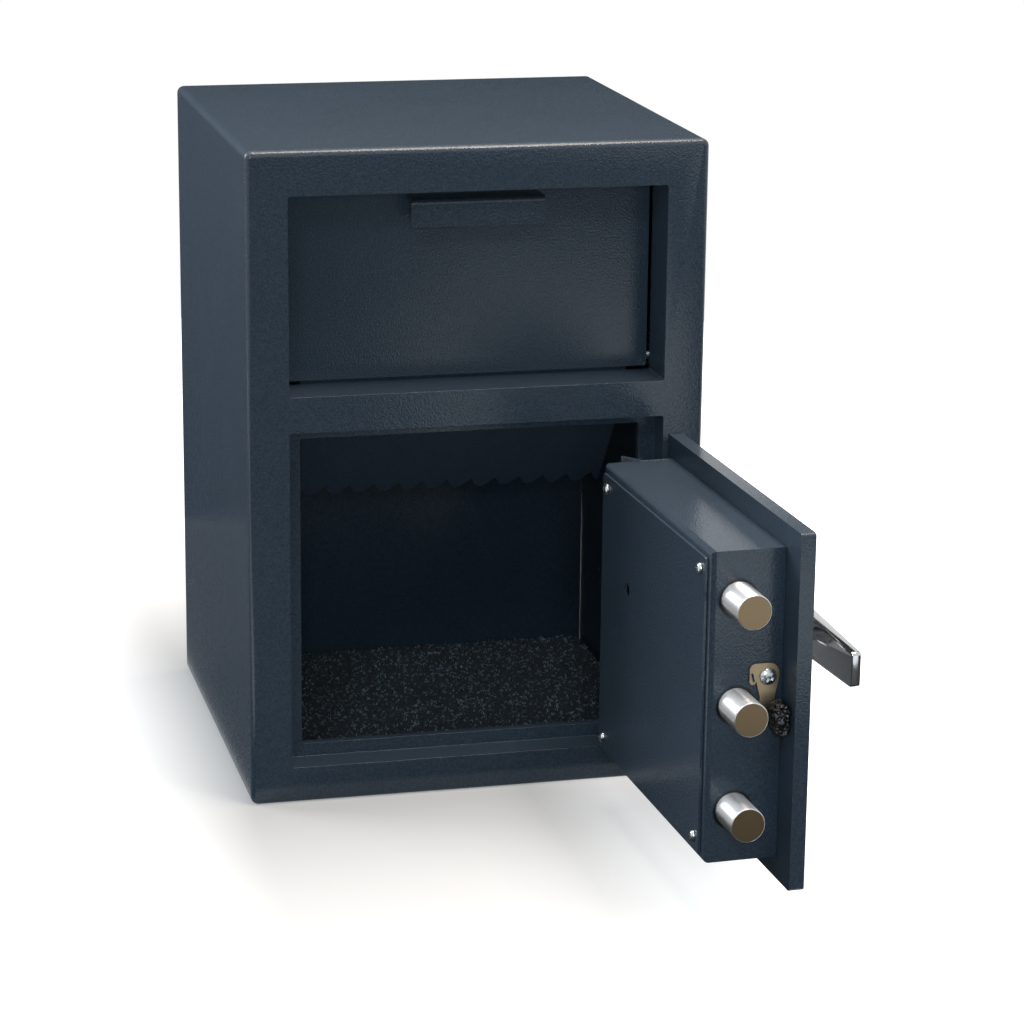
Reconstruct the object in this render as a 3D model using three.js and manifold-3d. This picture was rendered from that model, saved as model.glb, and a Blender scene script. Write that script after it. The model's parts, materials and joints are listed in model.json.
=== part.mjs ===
// Drop safe: a steel cabinet with a tilting deposit hopper above and a hinged, bolted door below.
// Millimetres, +Z up. The front faces -Y and the origin is the middle of the base.
// The door stands open with its three bolts thrown, and the hopper is shut.

import * as THREE from "three";
import { mergeVertices } from "three/addons/utils/BufferGeometryUtils.js";
import Module from "manifold-3d";

const wasm = await Module();
wasm.setup();

// Driving dimensions: cabinet
const cabinetWidth = 355.6;
const cabinetHeight = 508;
const cabinetDepth = 342.9;
const shellWall = 3;
const shellBend = 5.5;
const seatGap = 0.3; // between a piece and what it rests on
const runningGap = 0.4; // between a turning or sliding piece and its bearing
const cutOverrun = 2; // how far a cutting solid runs past the face that it opens

// Front frame: two openings of one width, one above the other
const frameWall = 3;
const frameEdgeRound = 4;
const frameRim = 7; // front face to the rear edge of the plate's turned-back rim
const sideStile = 31.8;
const openingCorner = 2;
const bottomRail = 28.3;
const middleRail = 27.9;
const hopperOpeningHeight = 152;
const topRail = 34;
const returnWall = 2.5; // sheet of the formed returns behind the front plate
const tunnelDepth = 43; // returns of the hopper opening
const rebateDepth = 25; // front face to the stop lip that the door closes against
const sideLip = 12.3;
const endLip = 10.5;
const lipReturn = 7; // the lip's own return, towards the inside

// Door, in its own shut position: u runs from its hinged end to its free end,
// v from its outer face into the cabinet, w up from its foot.
const doorSideGap = 3.5;
const doorEndGap = 2.9;
const doorThickness = 11;
const doorCorner = 2.5;
const doorOpenAngle = 92; // degrees from shut, as the door stands at rest

// Hinges on the front face
const pivotFromOpening = 20;
const pivotFromFace = 18.5;
const knuckleRadius = 9.5;
const knuckleHeight = 30;
const knuckleFloat = 0.5; // half of the running gap between the two knuckles
const hingePinRadius = 5;
const hingePinReach = 26; // into each knuckle
const strapWall = 8;
const strapLength = 78;
const strapRound = 10;
const lugWidth = 17;

// Bolt housing on the door's inner face
const housingHingeMargin = 14;
const housingFreeMargin = 26.7;
const housingEndMargin = 16.4;
const housingDepth = 54.9;
const housingWall = 3;
const housingBend = 4.2; // of the walls into the flange
const housingFlange = 20; // seat of the cover, measured from the housing's sides
const coverWall = 2;
const coverMargin = 5.5; // housing's sides to the cover's edge
const coverCorner = 2;
const coverScrewInset = 10;
const coverScrewHole = 2.3;
const coverScrewRadius = 4.2;
const coverScrewHead = 2.6;
const coverScrewShank = 2;
const coverScrewReach = 7;

// Fixed locking bar, which passes behind the hinge-side lip when the door shuts
const lockingBarWall = 3;
const lockingBarFoot = 23;
const lockingBarWing = 19;
const lockingBarAngle = 35;
const lockingBarEndMargin = 3;

// Bolts and what drives them
const boltRadius = 12.5;
const boltChamfer = 1.6;
const boltDepth = 45; // outer face to bolt axis
const boltEndMargin = 36.6; // from the housing's ends to the axes of the outer bolts, the middle bolt's rise aside
const boltsAboveMiddle = 1.7;
const boltReach = 5.9; // how far a thrown bolt stands past the door's free edge
const boltThrow = 24;
const boltLength = 82.6;
const carrierWall = 5;
const carrierWidth = 30;
const carrierEndMargin = 15;
const drivePlateWall = 4;
const drivePlateHeight = 62;
const slotMargin = 8;
const guideWall = 4;
const guideFromFreeWall = 27;
const guideFoot = 16;
const guideEndMargin = 18;
const guideTopMargin = 3;

// Handle
const handleFromHinge = 130;
const handleAboveMiddle = 15.5;
const leverReach = 116;
const leverRootHeight = 36;
const leverTipHeight = 26.3;
const leverWall = 7.5;
const leverStandOff = 45; // outer face of the door to the lever's back
const leverBevel = 1.2;
const leverTipRound = 3;
const handleNeckRadius = 15;
const roseRadius = 22;
const roseWall = 5;
const spindleRadius = 7;
const camRadius = 22;
const camWall = 6;
const camFromDoor = 8; // inner face of the door to the cam
const crankPinRadius = 4;
const crankPinReach = 9;

// Combination lock
const dialFromHinge = 68;
const dialRingRadius = 38;
const dialRingWall = 7;
const dialRadius = 31;
const dialFlange = 5;
const dialGripRadius = 17;
const dialGripHeight = 20;
const dialGripFlutes = 24;
const dialGripFluteDepth = 1.2;
const dialSpindleRadius = 4;
const lockCaseWidth = 61;
const lockCaseHeight = 82;
const lockCaseDepth = 28;
const lockCaseCorner = 6;
const changeKeyOffset = 14; // from the dial's axis, towards the free end
const changeKeyRise = 19.2;
const changeKeyRadius = 5.5;

// Catch on the housing's free side
const catchWall = 2;
const catchDepth = 22.7; // outer face to the catch screw
const catchAboveMiddle = 20.1;
const catchHeadTop = 9.7; // the plate's edges, all measured from the screw's axis
const catchHeadBack = 8.6;
const catchHeadReach = 13.4;
const catchHeadRound = 4.5;
const catchHookDrop = 5.5;
const catchHookWidth = 4.9;
const catchTailRadius = 5.5;
const catchTailTop = 14.8;
const catchTailDrop = 28.5;
const catchSlotWidth = 1.6;
const catchSlotLength = 6.5;
const catchSlotLean = 15; // degrees
const catchScrewRadius = 6.2;
const catchScrewHead = 3;
const stopperDrop = 27.5; // below the catch screw
const stopperWidth = 12;
const stopperHeight = 24;
const stopperReach = 19;
const stopperRound = 3;
const stopperStemRadius = 2.5;
const stopperStemDepth = 14.2; // outer face to the stem's axis

// Hopper: panel, pull, cheeks and saw-toothed tray, turning on two pins
const hopperPivotDepth = 56;
const hopperPivotRise = 8.3; // above the opening's foot
const hopperSideGap = 1.6;
const hopperTopGap = 2.6;
const hopperFootGap = 1.9;
const hopperWall = 2.8;
const hopperFaceDepth = 45.5;
const hopperReturn = 18.5;
const pullWidth = 104;
const pullOffset = 4;
const pullFromTop = 6.4;
const pullReach = 23;
const pullDrop = 22;
const pullWall = 2.2;
const pullBend = 4;
const pullCorner = 3.5;
const hopperPinRadius = 4;
const hopperPinHead = 2.5;
const hopperPinHeadRadius = 6.5;
const bracketWall = 3;
const bracketHeight = 40;
const bracketLap = 18; // over the outside of the tunnel
const bracketTail = 14; // behind the pin's axis
const traySideGap = 15.4; // panel's end to the tray's
const trayWall = 2;
const trayFlangeTop = 14; // above the pin's axis
const trayKneeDrop = 23.8; // below the pin's axis
const trayAngle = 51.7; // degrees below level
const trayLength = 110.4; // knee to the roots of the teeth
const toothCount = 13;
const toothDepth = 10.4;
const toothTipRound = 1.6;
const cheekWall = 2;
const cheekTopGap = 8;
const cheekTopWidth = 10;
const cheekBelly = 102; // how far the curved edge is drawn back from the panel
const cheekTailShare = 0.9; // of the tray's length

// Baffle hung from the roof behind the hopper
const baffleFromPivot = 144;
const baffleWall = 2;
const baffleFootDrop = 22; // below the pin's axis
const baffleLip = 14;
const baffleFlange = 22;

// Carpet on the floor
const carpetWall = 6;
const carpetSideGap = 4.5;
const carpetFront = 36;
const carpetCorner = 8;

// Derived places
const front = -cabinetDepth / 2;
const back = cabinetDepth / 2;
const openingWidth = cabinetWidth - 2 * sideStile;
const doorOpeningHeight = cabinetHeight - topRail - hopperOpeningHeight - middleRail - bottomRail;
const doorOpeningFoot = bottomRail;
const doorOpeningTop = doorOpeningFoot + doorOpeningHeight;
const hopperOpeningFoot = doorOpeningTop + middleRail;
const hopperOpeningTop = hopperOpeningFoot + hopperOpeningHeight;
const doorWidth = openingWidth - 2 * doorSideGap;
const doorHeight = doorOpeningHeight - 2 * doorEndGap;
const doorHingeEnd = openingWidth / 2 - doorSideGap;
const doorFoot = doorOpeningFoot + doorEndGap;
const pivotX = openingWidth / 2 + pivotFromOpening;
const pivotY = front - pivotFromFace;
const atU = (u) => doorHingeEnd - u;
const atV = (v) => front + v;
const atW = (w) => doorFoot + w;
const doorMiddle = doorHeight / 2;

// Finishes
const bluePaint = { color: 0x39434d, roughness: 0.55, metalness: 0.25 };
const chrome = { color: 0xc9ccd0, roughness: 0.12, metalness: 1 };
const brightSteel = { color: 0xa9a7a2, roughness: 0.3, metalness: 1 };
const zinc = { color: 0xb9bcc0, roughness: 0.35, metalness: 0.9 };
const yellowZinc = { color: 0xc0a368, roughness: 0.35, metalness: 0.9 };
const blackRubber = { color: 0x101113, roughness: 0.8, metalness: 0 };
const blackDial = { color: 0x17181a, roughness: 0.4, metalness: 0.2 };
const castZinc = { color: 0x8d9094, roughness: 0.5, metalness: 0.8 };
const greyCarpet = { color: 0x2b2d30, roughness: 0.95, metalness: 0 };

// Solids: a closed geometry becomes a manifold with its faces pointing out
function solidOf(geometry) {
  const bare = geometry.clone();
  bare.deleteAttribute("normal");
  bare.deleteAttribute("uv");
  const merged = mergeVertices(bare);
  const places = merged.attributes.position.array;
  const corners = [];
  const index = merged.index.array;
  for (let i = 0; i < index.length; i += 3) {
    const [a, b, c] = [index[i], index[i + 1], index[i + 2]];
    if (a !== b && b !== c && c !== a) corners.push(a, b, c);
  }
  const point = (i) => new THREE.Vector3().fromArray(places, 3 * i);
  let volume = 0;
  for (let i = 0; i < corners.length; i += 3) {
    volume += point(corners[i]).dot(point(corners[i + 1]).cross(point(corners[i + 2])));
  }
  if (volume < 0) corners.reverse();
  const mesh = new wasm.Mesh({
    numProp: 3,
    vertProperties: Float32Array.from(places),
    triVerts: Uint32Array.from(corners),
  });
  return new wasm.Manifold(mesh);
}

function geometryOf(solid) {
  const mesh = solid.getMesh();
  const geometry = new THREE.BufferGeometry();
  geometry.setAttribute("position", new THREE.BufferAttribute(Float32Array.from(mesh.vertProperties), 3));
  geometry.setIndex(new THREE.BufferAttribute(Uint32Array.from(mesh.triVerts), 1));
  geometry.computeVertexNormals();
  return geometry;
}

// Outlines
function roundedRectangle(width, height, radius, x = 0, y = 0, path = new THREE.Shape()) {
  const [left, right, low, high] = [x - width / 2, x + width / 2, y - height / 2, y + height / 2];
  path.moveTo(left + radius, low);
  path.absarc(right - radius, low + radius, radius, -Math.PI / 2, 0);
  path.absarc(right - radius, high - radius, radius, 0, Math.PI / 2);
  path.absarc(left + radius, high - radius, radius, Math.PI / 2, Math.PI);
  path.absarc(left + radius, low + radius, radius, Math.PI, 1.5 * Math.PI);
  path.closePath();
  return path;
}

function polygon(points) {
  return new THREE.Shape(points.map(([x, y]) => new THREE.Vector2(x, y)));
}

// Extrusions of an outline: in X and Z from front to back, in Y and Z across, in X and Y upwards
const flat = { bevelEnabled: false, curveSegments: 3 };

function frontToBack(outline, near, far, options = {}) {
  const geometry = new THREE.ExtrudeGeometry(outline, { ...flat, depth: far - near, ...options });
  geometry.rotateX(Math.PI / 2);
  geometry.translate(0, far, 0);
  return solidOf(geometry);
}

function across(outline, left, right, options = {}) {
  const geometry = new THREE.ExtrudeGeometry(outline, { ...flat, depth: right - left, ...options });
  const basis = new THREE.Matrix4().makeBasis(
    new THREE.Vector3(0, 1, 0),
    new THREE.Vector3(0, 0, 1),
    new THREE.Vector3(1, 0, 0),
  );
  geometry.applyMatrix4(basis);
  geometry.translate(left, 0, 0);
  return solidOf(geometry);
}

function upwards(outline, low, high, options = {}) {
  const geometry = new THREE.ExtrudeGeometry(outline, { ...flat, depth: high - low, ...options });
  geometry.translate(0, 0, low);
  return solidOf(geometry);
}

// Turned pieces on an axis from front to back; a profile point is [radius, distance along Y]
function turned(profile, x, z, steps = 32) {
  const points = profile.map(([radius, y]) => new THREE.Vector2(radius, y));
  const geometry = new THREE.LatheGeometry(points, steps);
  geometry.translate(x, 0, z);
  return solidOf(geometry);
}

function rodAlongY(radius, near, far, x, z, steps = 32) {
  return turned([[0, near], [radius, near], [radius, far], [0, far]], x, z, steps);
}

function rodAlongX(radius, left, right, y, z, steps = 24) {
  const geometry = new THREE.CylinderGeometry(radius, radius, right - left, steps);
  geometry.rotateZ(Math.PI / 2);
  geometry.translate((left + right) / 2, y, z);
  return solidOf(geometry);
}

function rodAlongZ(radius, low, high, x, y, steps = 24) {
  const geometry = new THREE.CylinderGeometry(radius, radius, high - low, steps);
  geometry.rotateX(Math.PI / 2);
  geometry.translate(x, y, (low + high) / 2);
  return solidOf(geometry);
}

function join(first, ...others) {
  return others.reduce((whole, next) => whole.add(next), first);
}

function cut(first, ...others) {
  return others.reduce((whole, next) => whole.subtract(next), first);
}

// The scene: fixed pieces in the safe, and one group for what swings with the door
const safe = new THREE.Group();
const doorGroup = new THREE.Group();
const doorTurn = new THREE.Group();
doorTurn.position.set(pivotX, pivotY, 0);
doorTurn.rotation.z = THREE.MathUtils.degToRad(doorOpenAngle);
doorGroup.position.set(-pivotX, -pivotY, 0);
doorTurn.add(doorGroup);
safe.add(doorTurn);

function place(group, name, solid, finish) {
  const mesh = new THREE.Mesh(geometryOf(solid), new THREE.MeshStandardMaterial(finish));
  mesh.name = name;
  group.add(mesh);
}

// Cabinet: wrap, back and front frame
function shellOutline(inset) {
  const round = shellBend - inset;
  return roundedRectangle(cabinetWidth - 2 * inset, cabinetHeight - 2 * inset, round, 0, cabinetHeight / 2);
}

function cabinetWrap() {
  const outer = frontToBack(shellOutline(0), front + frameRim + seatGap, back);
  const inner = frontToBack(shellOutline(shellWall), front, back + cutOverrun);
  return cut(outer, inner);
}

function backPanel() {
  return frontToBack(shellOutline(shellWall + seatGap), back - shellWall, back);
}

// A rectangular ring of sheet behind the front plate, measured by its clear opening
function ring(width, height, wall, middle, near, far) {
  const outer = frontToBack(
    roundedRectangle(width + 2 * wall, height + 2 * wall, openingCorner + wall, 0, middle), near, far);
  const inner = frontToBack(
    roundedRectangle(width, height, openingCorner, 0, middle), near - cutOverrun, far + cutOverrun);
  return cut(outer, inner);
}

function frontFrame() {
  const doorCentre = doorOpeningFoot + doorOpeningHeight / 2;
  const hopperCentre = hopperOpeningFoot + hopperOpeningHeight / 2;
  const plate = frontToBack(shellOutline(0), front + frameEdgeRound, front + frameRim, {
    bevelEnabled: true,
    bevelThickness: frameEdgeRound,
    bevelSize: frameEdgeRound,
    bevelOffset: -frameEdgeRound,
    bevelSegments: 4,
  }).trimByPlane([0, -1, 0], -(front + frameRim));
  const hollow = frontToBack(shellOutline(frameWall), front + frameWall, front + frameRim + cutOverrun);
  const wayThrough = (height, middle) => frontToBack(
    roundedRectangle(openingWidth, height, openingCorner, 0, middle),
    front - cutOverrun, front + frameWall + cutOverrun);
  const lipBack = front + rebateDepth + returnWall;
  const lipClear = [openingWidth - 2 * sideLip, doorOpeningHeight - 2 * endLip];
  const openPlate = cut(
    plate, hollow, wayThrough(doorOpeningHeight, doorCentre), wayThrough(hopperOpeningHeight, hopperCentre));
  const stopLip = cut(
    frontToBack(
      roundedRectangle(openingWidth + returnWall, doorOpeningHeight + returnWall, openingCorner, 0, doorCentre),
      front + rebateDepth, lipBack),
    frontToBack(
      roundedRectangle(...lipClear, openingCorner, 0, doorCentre),
      front + rebateDepth - cutOverrun, lipBack + cutOverrun));
  return join(
    openPlate,
    ring(openingWidth, hopperOpeningHeight, returnWall, hopperCentre, front + frameWall / 2, front + tunnelDepth),
    ring(openingWidth, doorOpeningHeight, returnWall, doorCentre, front + frameWall / 2, lipBack),
    stopLip,
    ring(...lipClear, returnWall, doorCentre, front + rebateDepth, front + rebateDepth + lipReturn));
}

function carpetMat() {
  const near = front + carpetFront;
  const far = back - shellWall - carpetSideGap;
  const width = cabinetWidth - 2 * (shellWall + carpetSideGap);
  const outline = roundedRectangle(width, far - near, carpetCorner, 0, (near + far) / 2);
  return upwards(outline, shellWall + seatGap, shellWall + seatGap + carpetWall);
}

// Hinges: a lug with the lower knuckle on the frame, a strap with the upper knuckle on the door
// Each strap keeps a share of the free room beside it between itself and the dial's ring
const ringGapShares = { lower: 0.329, upper: 0.527 };
const ringLow = doorMiddle + handleAboveMiddle - dialRingRadius;
const ringHigh = doorMiddle + handleAboveMiddle + dialRingRadius;
const hingeJoints = {
  lower: atW(ringLow - ringGapShares.lower * (ringLow - knuckleHeight) - knuckleHeight),
  upper: atW(ringHigh + ringGapShares.upper * (doorHeight - ringHigh - knuckleHeight)),
};

function hingeLug(middle) {
  const low = middle - knuckleHeight;
  const high = middle - knuckleFloat;
  const knuckle = rodAlongZ(knuckleRadius, low, high, pivotX, pivotY);
  const block = upwards(
    polygon([
      [pivotX - lugWidth / 2, front - seatGap],
      [pivotX - knuckleRadius, pivotY],
      [pivotX + knuckleRadius, pivotY],
      [pivotX + lugWidth / 2, front - seatGap],
    ]), low, high);
  const bore = rodAlongZ(hingePinRadius + seatGap, middle - hingePinReach, high + cutOverrun, pivotX, pivotY);
  return cut(join(knuckle, block), bore);
}

function hingePin(middle) {
  return rodAlongZ(hingePinRadius, middle - hingePinReach + seatGap, middle + hingePinReach, pivotX, pivotY);
}

function hingeStrap(middle) {
  const low = middle + knuckleFloat;
  const high = middle + knuckleHeight;
  const knuckle = rodAlongZ(knuckleRadius, low, high, pivotX, pivotY);
  const strapBack = front - seatGap;
  const outline = roundedRectangle(
    strapLength + strapRound, high - low, strapRound, pivotX - strapLength / 2 + strapRound / 2, (low + high) / 2);
  const plate = frontToBack(outline, strapBack - strapWall, strapBack);
  const trimmed = plate.trimByPlane([-1, 0, 0], -pivotX);
  const gusset = upwards(
    polygon([
      [pivotX, strapBack - strapWall / 2],
      [pivotX - strapWall - knuckleRadius, strapBack - strapWall / 2],
      [pivotX - knuckleRadius, pivotY],
      [pivotX, pivotY],
    ]), low, high);
  const bore = rodAlongZ(
    hingePinRadius + runningGap, low - cutOverrun, middle + hingePinReach + runningGap, pivotX, pivotY);
  return cut(join(knuckle, trimmed, gusset), bore);
}

// Door slab with the two holes that its spindles pass through
const handleX = atU(handleFromHinge);
const handleZ = atW(doorMiddle + handleAboveMiddle);
const dialX = atU(dialFromHinge);
const dialZ = handleZ;

function doorSlab() {
  const outline = roundedRectangle(
    doorWidth, doorHeight, doorCorner, atU(doorWidth / 2), atW(doorMiddle));
  const slab = frontToBack(outline, atV(0), atV(doorThickness));
  const holeAt = (radius, x, z) => rodAlongY(
    radius + runningGap, atV(-cutOverrun), atV(doorThickness + cutOverrun), x, z);
  return cut(slab, holeAt(spindleRadius, handleX, handleZ), holeAt(dialSpindleRadius, dialX, dialZ));
}

// Bolt housing: a box bent from sheet, whose walls turn into a flange that the cover is screwed to
const housingNear = doorThickness + seatGap;
const housingFar = doorThickness + housingDepth;
const housingHingeSide = housingHingeMargin;
const housingFreeSide = doorWidth - housingFreeMargin;
const housingWidth = housingFreeSide - housingHingeSide;
const housingHeight = doorHeight - 2 * housingEndMargin;
const housingCentreX = atU((housingHingeSide + housingFreeSide) / 2);
const coverNear = housingFar + seatGap;
const coverFar = coverNear + coverWall;
const boltPitch = housingHeight / 2 - boltEndMargin;
const boltHeights = [-1, 0, 1].map((step) => atW(doorMiddle + boltsAboveMiddle + step * boltPitch));

function housingOutline(inset) {
  const [left, right] = [housingCentreX - housingWidth / 2 + inset, housingCentreX + housingWidth / 2 - inset];
  const [low, high] = [atW(housingEndMargin + inset), atW(doorHeight - housingEndMargin - inset)];
  return polygon([[left, low], [right, low], [right, high], [left, high]]);
}

const coverScrewPlaces = [];
for (const sideways of [-1, 1]) {
  for (const upright of [1, -1]) {
    coverScrewPlaces.push([
      housingCentreX + sideways * (housingWidth / 2 - coverMargin - coverScrewInset),
      atW(doorMiddle) + upright * (housingHeight / 2 - coverMargin - coverScrewInset),
    ]);
  }
}

const catchZ = atW(doorMiddle + boltsAboveMiddle + catchAboveMiddle);
const stopperZ = catchZ - stopperDrop;

function boltHousing() {
  const skin = frontToBack(housingOutline(0), atV(doorThickness), atV(housingFar - housingBend), {
    bevelEnabled: true,
    bevelThickness: housingBend,
    bevelSize: housingBend,
    bevelOffset: -housingBend,
    bevelSegments: 4,
  }).trimByPlane([0, 1, 0], atV(housingNear));
  const hollow = frontToBack(housingOutline(housingWall), atV(0), atV(housingFar - housingWall));
  const window = frontToBack(housingOutline(housingFlange), atV(0), atV(housingFar + cutOverrun));
  const screwHoles = coverScrewPlaces.map(([x, z]) => rodAlongY(
    coverScrewHole, atV(housingNear), atV(housingFar + cutOverrun), x, z, 16));
  const freeWall = [atU(housingFreeSide + cutOverrun), atU(housingFreeSide - housingWall - cutOverrun)];
  const boltHoles = boltHeights.map((z) => rodAlongX(boltRadius + runningGap, ...freeWall, atV(boltDepth), z, 36));
  const catchHoles = [
    rodAlongX(coverScrewHole, ...freeWall, atV(catchDepth), catchZ, 16),
    rodAlongX(stopperStemRadius + seatGap, ...freeWall, atV(stopperStemDepth), stopperZ, 16),
  ];
  return cut(skin, hollow, window, ...screwHoles, ...boltHoles, ...catchHoles);
}

const changeKeyX = dialX - changeKeyOffset;
const changeKeyZ = dialZ + changeKeyRise;

function housingCover() {
  const [width, height] = [housingWidth - 2 * coverMargin, housingHeight - 2 * coverMargin];
  const outline = roundedRectangle(width, height, coverCorner, housingCentreX, atW(doorMiddle));
  const plate = frontToBack(outline, atV(coverNear), atV(coverFar));
  const keyHole = rodAlongY(changeKeyRadius, atV(0), atV(coverFar + cutOverrun), changeKeyX, changeKeyZ, 24);
  const screwHoles = coverScrewPlaces.map(([x, z]) => rodAlongY(
    coverScrewHole, atV(0), atV(coverFar + cutOverrun), x, z, 16));
  return cut(plate, keyHole, ...screwHoles);
}

// A pan-head screw on an axis along Y: its head stands on the cover, its shank runs through the flange
function coverScrew([x, z]) {
  const seat = atV(coverFar + seatGap);
  const crown = coverScrewHead / 2;
  return turned([
    [0, seat - coverScrewReach],
    [coverScrewShank, seat - coverScrewReach],
    [coverScrewShank, seat],
    [coverScrewRadius, seat],
    [coverScrewRadius, seat + crown],
    [coverScrewRadius - crown / 2, seat + coverScrewHead - crown / 4],
    [0, seat + coverScrewHead],
  ], x, z, 16);
}

// The fixed locking bar: a foot along the housing's hinge side and a wing that leans away from it
function lockingBar() {
  const lean = THREE.MathUtils.degToRad(lockingBarAngle);
  const foot = housingHingeSide - seatGap;
  const low = doorThickness + seatGap;
  const knee = low + lockingBarFoot;
  const reach = [lockingBarWing * Math.cos(lean), lockingBarWing * Math.sin(lean)];
  const mitre = lockingBarWall * Math.tan((Math.PI / 2 - lean) / 2);
  const outer = foot - lockingBarWall;
  const profile = [
    [foot, low],
    [foot, knee + mitre],
    [foot - reach[0] - lockingBarWall * Math.sin(lean), knee + mitre + reach[1] + mitre * Math.sin(lean)],
    [outer - reach[0], knee + reach[1]],
    [outer, knee],
    [outer, low],
  ];
  const wLow = atW(housingEndMargin + lockingBarEndMargin);
  const wHigh = atW(doorHeight - housingEndMargin);
  return upwards(polygon(profile.map(([u, v]) => [atU(u), atV(v)])), wLow, wHigh);
}

// Bolts, the carrier that ties them together and the guide that they run in
const boltTip = atU(doorWidth + boltReach);
const boltTail = boltTip + boltLength;
const carrierNear = camFromDoor + doorThickness + camWall + 2 * runningGap;
const crankSwing = boltThrow / Math.SQRT2;
const crankX = handleX - boltThrow / 2;
const crankZ = handleZ - boltThrow / 2;

function bolt(z) {
  const length = boltLength - boltChamfer;
  const profile = [[0, 0], [boltRadius, 0], [boltRadius, length], [boltRadius - boltChamfer, boltLength], [0, boltLength]];
  const points = profile.map(([radius, along]) => new THREE.Vector2(radius, along));
  const geometry = new THREE.LatheGeometry(points, 36);
  geometry.rotateZ(Math.PI / 2);
  geometry.translate(boltTail, atV(boltDepth), z);
  return solidOf(geometry);
}

function boltCarrier() {
  const barFree = boltTail + seatGap;
  const barHinge = barFree + carrierWall;
  const low = boltHeights[0] - carrierEndMargin;
  const high = boltHeights[2] + carrierEndMargin;
  const near = atV(carrierNear);
  const bar = frontToBack(
    polygon([[barFree, low], [barHinge, low], [barHinge, high], [barFree, high]]), near, near + carrierWidth);
  const pinRoom = crankPinRadius + 2 * runningGap;
  const plateEnd = crankX + pinRoom + slotMargin;
  const plateLow = handleZ - drivePlateHeight + boltThrow;
  const plateHigh = plateLow + drivePlateHeight;
  const plate = frontToBack(
    polygon([[barFree, plateLow], [plateEnd, plateLow], [plateEnd, plateHigh], [barFree, plateHigh]]),
    near, near + drivePlateWall);
  const slotHeight = crankSwing - boltThrow / 2 + 2 * pinRoom;
  const slot = frontToBack(
    roundedRectangle(2 * pinRoom, slotHeight, pinRoom - seatGap, crankX, crankZ + pinRoom - slotHeight / 2),
    near - cutOverrun, near + drivePlateWall + cutOverrun, { curveSegments: 6 });
  return cut(join(bar, plate), slot);
}

function boltGuide() {
  const hingeFace = atU(housingFreeSide - guideFromFreeWall - guideWall);
  const freeFace = hingeFace - guideWall;
  const low = atW(housingEndMargin + guideEndMargin);
  const high = atW(doorHeight - housingEndMargin - guideEndMargin);
  const near = doorThickness + seatGap;
  const far = housingFar - housingWall - guideTopMargin;
  const profile = [
    [freeFace - guideFoot, near],
    [freeFace - guideFoot, near + guideWall],
    [freeFace, near + guideWall],
    [freeFace, far],
    [hingeFace, far],
    [hingeFace, near],
  ];
  const angle = upwards(polygon(profile.map(([x, v]) => [x, atV(v)])), low, high);
  const holes = boltHeights.map((z) => rodAlongX(
    boltRadius + runningGap, freeFace - cutOverrun, hingeFace + cutOverrun, atV(boltDepth), z, 36));
  return cut(angle, ...holes);
}

// Handle: rose on the door, lever with its neck, spindle, and the cam whose pin drives the carrier
function handleRose() {
  const near = atV(-seatGap - roseWall);
  const far = atV(-seatGap);
  const rim = roseWall / 2;
  const bore = spindleRadius + runningGap;
  return turned([
    [bore, far], [roseRadius, far], [roseRadius, near + rim], [roseRadius - rim, near], [bore, near], [bore, far],
  ], handleX, handleZ, 40);
}

function leverHandle() {
  const root = leverRootHeight / 2;
  const tip = leverTipHeight / 2;
  const tipX = handleX - leverReach;
  const slope = (root - tip) / leverReach;
  const outline = new THREE.Shape();
  outline.absarc(handleX, handleZ, root, -Math.PI / 2, Math.PI / 2);
  outline.lineTo(tipX + leverTipRound, handleZ + tip + slope * leverTipRound);
  outline.quadraticCurveTo(tipX, handleZ + tip, tipX, handleZ + tip - leverTipRound);
  outline.lineTo(tipX, handleZ - tip + leverTipRound);
  outline.quadraticCurveTo(tipX, handleZ - tip, tipX + leverTipRound, handleZ - tip - slope * leverTipRound);
  outline.closePath();
  const far = atV(-leverStandOff);
  const near = far - leverWall;
  const blade = frontToBack(outline, near + leverBevel, far - leverBevel, {
    bevelEnabled: true,
    bevelThickness: leverBevel,
    bevelSize: leverBevel,
    bevelOffset: -leverBevel,
    bevelSegments: 2,
    curveSegments: 12,
  });
  const neckFar = atV(-2 * seatGap - roseWall);
  const neck = rodAlongY(handleNeckRadius, far - leverWall / 2, neckFar, handleX, handleZ, 36);
  return join(blade, neck);
}

const camNear = atV(doorThickness + camFromDoor);
const camFar = camNear + camWall;

function handleSpindle() {
  return rodAlongY(spindleRadius, atV(-seatGap - roseWall), camFar, handleX, handleZ);
}

function boltCam() {
  const disc = rodAlongY(camRadius, camNear, camFar, handleX, handleZ, 36);
  const pin = rodAlongY(crankPinRadius, camFar - runningGap, camFar + crankPinReach, crankX, crankZ, 20);
  const bore = rodAlongY(spindleRadius + seatGap, camNear - cutOverrun, camFar + cutOverrun, handleX, handleZ);
  return cut(join(disc, pin), bore);
}

// Combination lock: ring and case on the door, dial and spindle that turn
function dialRing() {
  const near = atV(-seatGap - dialRingWall);
  const far = atV(-seatGap);
  const rim = dialRingWall / 2;
  const bore = dialRadius + 2 * runningGap;
  return turned([
    [bore, far], [dialRingRadius, far], [dialRingRadius, near + rim], [dialRingRadius - rim, near],
    [bore, near], [bore, far],
  ], dialX, dialZ, 48);
}

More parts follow.
